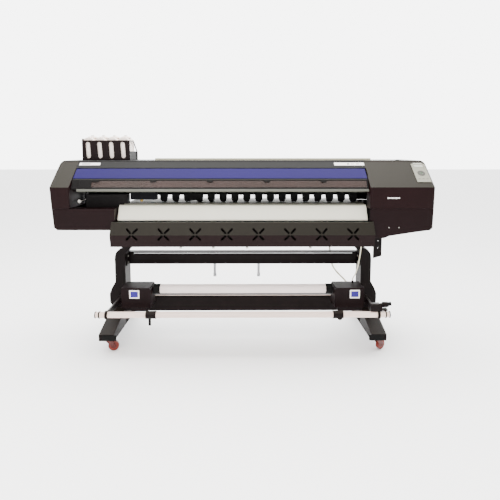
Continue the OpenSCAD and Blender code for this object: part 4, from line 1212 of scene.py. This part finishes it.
@dataclass
class Rear:
    """Air slots, inlet, sockets and a blank plate on the back of the right cover.

    Attributes:
        slot: Width, height and corner radius of an air slot.
        slot_count: Slots across and up.
        slot_pitch: Their distances across and up.
        inlet_at: Distance of the inlet from the cover's middle.
        inlet: Width, height, corner radius, height above the cover's edge, depth and chamfer.
        sockets: Width and height of each socket.
    """

    slot: tuple[float, float, float] = (46.0, 5.0, 2.4)
    slot_count: tuple[int, int] = (4, 8)
    slot_pitch: tuple[float, float] = (56.0, 11.0)
    inlet_at: float = 120.0
    inlet: tuple[tuple[float, ...], ...] = (
        (30, 48, 4, 60, 3, 1),
        (22, 18, 3, 52, 5, 1),
        (20, 12, 2, 74, 6, 2),
    )
    sockets: tuple[tuple[float, float], ...] = ((18, 14), (14, 12), (14, 6))

    def build(self) -> None:
        """Add everything on the back."""
        low, high = corners("right_cap_lower")
        x = (low.x + high.x) / 2
        start = facing_back(x + 120, high.y, low.z + 34)
        slots = Scatter("air_slots", BLACK_RUBBER, "machine")
        slots.grid(plate_form(rounded_outline(*self.slot), 0.6), start, self.slot_count, self.slot_pitch)
        across = x - self.inlet_at
        inlet = [
            (rounded_outline(wide, tall, corner), facing_back(across, high.y, low.z + up), deep, bevel)
            for wide, tall, corner, up, deep, bevel in self.inlet
        ]
        plate_piece("power_inlet", MATT_ABS, "machine", *inlet)
        ports = [
            (rounded_outline(wide, tall, 1), facing_back(x - 150 - i * 22, high.y, low.z + 62), 2.5, 0.8)
            for i, (wide, tall) in enumerate(self.sockets)
        ]
        plate_piece("data_sockets", ZINC, "machine", *ports)
        at = facing_back(x - 160, high.y, low.z + 104)
        plate_piece("blank_rating_plate", ANODISED, "machine", (rounded_outline(60, 36, 2), at, 0.6, 0))


@dataclass
class Stand:
    """End caps of the feet.

    Attributes:
        inset: Distance from the foot's outer side to the cap's middle.
        size: Width, height and corner radius of a cap.
        rise: Height of the cap's middle above the foot's underside.
    """

    inset: float = 85.0
    size: tuple[float, float, float] = (100.0, 38.0, 5.0)
    rise: float = 22.0

    def build(self) -> None:
        """Add the caps at both ends of both feet."""
        for side in ("left", "right"):
            low, high = corners(f"leg_{side}")
            x = low.x + self.inset if side == "left" else high.x - self.inset
            z = low.z + self.rise
            caps = [
                (rounded_outline(*self.size), at, 3.0, 1.2)
                for at in (facing_front(x, low.y, z), facing_back(x, high.y, z))
            ]
            plate_piece(f"foot_caps_{side}", MATT_ABS, "machine", *caps)


@dataclass
class Roll:
    """Fine wound edges on both ends of the film roll.

    Attributes:
        inner: Radius of the core.
        rings: Number of ridges.
    """

    inner: float = 26.0
    rings: int = 12

    def build(self) -> None:
        """Add ridged rings on the roll's ends."""
        low, high = corners("takeup_roll")
        middle = (low + high) / 2
        outer = (high.z - low.z) / 2 - 0.5
        profile = [(outer, -0.6)]
        for i in range(self.rings):
            r = outer - (outer - self.inner) * i / self.rings
            profile += [(r, 0.3), (r - 0.6, 0.55), (r - 1.0, 0.3)]
        ends = bmesh.new()
        for x, turn in ((low.x, -90), (high.x, 90)):
            add_lathe(ends, profile, facing_side(x, middle.y, middle.z, turn), 40)
        piece("roll_wound_ends", ends, FILM, "takeup")


@dataclass
class Trims:
    """Cream profile on the flat top, badge and latch of the right cover.

    Attributes:
        front: Where the profile's front edge lies.
        ends: Distances of the profile's ends from the top cover's ends.
        profile: The profile's section, front to back and up.
        badge_at: Place along the machine and height of the badge's first block.
        badge: Number, pitch and width of the badge's blocks.
        latch_at: Place of the latch along the machine, and back from the cover's front.
    """

    front: float = -100.0
    ends: tuple[float, float] = (545.0, 60.0)
    profile: Outline = ((0, 0), (26, 0), (26, 10), (22, 15), (12, 17), (3, 14), (0, 8))
    badge_at: tuple[float, float] = (1000.0, 1092.0)
    badge: tuple[int, float, float] = (9, 9.6, 8.0)
    latch_at: tuple[float, float] = (1143.0, 260.0)

    def build(self) -> None:
        """Add the trims."""
        low, high = corners("top_cover")
        first, last = low.x + self.ends[0], high.x + self.ends[1]
        section = [(-y, z) for y, z in self.profile]
        at = shift(first, self.front, high.z) @ SWEPT
        plate_piece("top_cream_profile", CREAM_PVC, "machine", (section, at, last - first, 0))
        low, high = corners("right_cap_upper")
        count, pitch, wide = self.badge
        x, z = self.badge_at
        blocks = [
            (rounded_outline(wide, 9 if i % 3 else 11, 2), facing_front(x + i * pitch, low.y, z), 0.8, 0.3)
            for i in range(count)
        ]
        plate_piece("blank_badge", LABEL_WHITE, "machine", *blocks)
        x, back = self.latch_at
        base = (rounded_outline(44, 26, 6), shift(x, low.y + back, high.z), 4, 1.5)
        button = (rounded_outline(24, 12, 4), shift(x, low.y + back, high.z + 4), 3, 1)
        plate_piece("top_latch", MATT_ABS, "machine", base, button)


@dataclass
class Bar:
    """End plugs of the tension bar, and the clamp's side plate and knob.

    Attributes:
        radius: Radius of the plug inside the tube.
        depth: How deep the plug sits in the tube.
        reach: How far the plug stands out of the tube's inner edge.
        plate_outline: The clamp's side plate, front to back and up from the bar's middle.
        tongue_outline: Its folded tongue.
        knob_profile: Radii and heights of the knob.
        knob_at: Distances of the knob from the arms' end, and from the bar's middle.
        knob_lean: Angle of the knob from up to the right.
    """

    radius: float = 15.6
    depth: float = 11.0
    reach: float = 36.0
    plate_outline: Outline = ((-26, 30), (10, 24), (14, 34), (8, 74), (-8, 78), (-26, 60))
    tongue_outline: Outline = ((-22, 30), (8, 26), (10, 36), (-20, 40))
    knob_profile: Outline = ((16, 0), (18, 3), (18, 10), (14, 16), (12, 26), (15, 32), (9, 36))
    knob_at: Place = (-2.0, 14.0, 64.0)
    knob_lean: float = 78.0

    def build(self) -> None:
        """Add the bar's ends and the clamp's outer parts."""
        low, high = corners("tension_bar")
        middle = (low + high) / 2
        self.ends(low, high, middle)
        _, arm = corners("tension_arms")
        start = shift(arm.x - 46, middle.y, middle.z) @ SWEPT
        plate = (self.plate_outline, start, 12, 3)
        tongue = (self.tongue_outline, start @ shift(0, 0, 11), 40, 4)
        plate_piece("clamp_side_plate", HOOD_COAT, "dancer", plate, tongue)
        x, y, z = self.knob_at
        knob = bmesh.new()
        hub = facing_side(arm.x + x, middle.y + y, middle.z + z, self.knob_lean)
        add_lathe(knob, self.knob_profile, hub, 20)
        piece("clamp_wing_knob", knob, MATT_ABS, "dancer")

    def ends(self, low: Vector, high: Vector, middle: Vector) -> None:
        """Add a plug with a dark ring at both ends of the bar.

        Args:
            low: Lowest corner of the bar.
            high: Highest corner of the bar.
            middle: Middle of the bar.
        """
        r, out = self.radius, self.reach
        plug = ((r, 0), (r, 11.2), (r + 4, 11.6), (r + 4, out - 2), (r + 2, out), (6, out), (5, out - 3))
        ring = ((r + 4.2, out - 5), (r + 7, out - 5), (r + 7, out + 1), (r + 2.2, out + 1), (r, out + 0.4))
        plugs, rings = bmesh.new(), bmesh.new()
        for x, turn in ((low.x + self.depth, -90), (high.x - self.depth, 90)):
            at = facing_side(x, middle.y, middle.z, turn)
            add_lathe(plugs, plug, at, 28)
            add_lathe(rings, ring, at, 28)
        piece("bar_end_plugs", plugs, BAR_COAT, "dancer")
        piece("bar_end_rings", rings, MATT_ABS, "dancer")


@dataclass
class Beams:
    """Pale strips along the cross beams' top edges, painted highlights of the light those edges catch, and
    the clips under the drying hood.

    Attributes:
        beams: Beam, distance of the painted highlight strip from both of its ends, and finish.
        highlight_strip: Section of the painted highlight strip, front to back and up.
        clips: Places of the clips along the machine.
        clip_outline: Shape of a clip, with a neck and a tail.
        clip_at: Distances of the clips back from the hood's front and below its underside.
    """

    # Pale finishes on the black beams: these strips are painted highlights of their top edges.
    beams: tuple[tuple[str, float, Finish], ...] = (
        ("upper_crossbeam", 60.0, ANODISED),
        ("lower_crossbeam", 110.0, BAR_COAT),
    )
    highlight_strip: Outline = ((0, 0), (5, 0), (5, 3), (4, 4.5), (1, 4.5), (0, 3.5))
    clips: tuple[float, ...] = (-430.0, -204.0, 30.0, 468.0)
    clip_outline: Outline = ((-9, 0), (9, 0), (9, 9), (3, 13), (3, 24), (-3, 24), (-3, 13), (-9, 9))
    clip_at: tuple[float, float] = (66.0, 22.0)

    def build(self) -> None:
        """Add the painted highlight strips and the clips."""
        for name, inset, finish in self.beams:
            low, high = corners(name)
            at = shift(low.x + inset, low.y + 8, high.z - 0.5) @ SWEPT
            length = high.x - low.x - 2 * inset
            plate_piece(name + "_edging", finish, "machine", (self.highlight_strip, at, length, 0))
        low, _ = corners("dryer_housing")
        back, down = self.clip_at
        spots = [Vector((x, low.y + back, low.z - down)) for x in self.clips]
        form = plate_form(self.clip_outline, 3, 0.8)
        Scatter("hood_clips", ZINC, "machine").points(form, UPRIGHT, spots)


def dress_frame() -> None:
    """Give every CAD node its finish."""
    for finish, nodes in CAD_FINISHES.items():
        for name in nodes:
            node = frame["nodes"][name]
            if not node.material_slots:
                node.data.materials.append(finish.material())
            for slot in node.material_slots:
                slot.material = finish.material()


def main() -> None:
    """Build the view, the cords, the studio and every sub-assembly in order, and report each piece."""
    logging.basicConfig(level=logging.INFO, format="%(message)s")
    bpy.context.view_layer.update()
    Camera().build()
    Cables().build()
    Studio().build()
    dress_frame()
    slope = Slope()
    assemblies = (
        Lid(),
        Labels(slope),
        ControlPanel(slope),
        Screws(),
        InkStation(),
        Platen(),
        Wheels(),
        Rear(),
        Stand(),
        Roll(),
        Trims(),
        Bar(),
        Beams(),
    )
    for assembly in assemblies:
        assembly.build()
    for made in bpy.context.scene.objects:
        if made.type in {"MESH", "CURVE"}:
            LOG.info("%s: %s", made.name, ", ".join(m.name for m in made.data.materials if m))


if __name__ == "__main__":
    main()
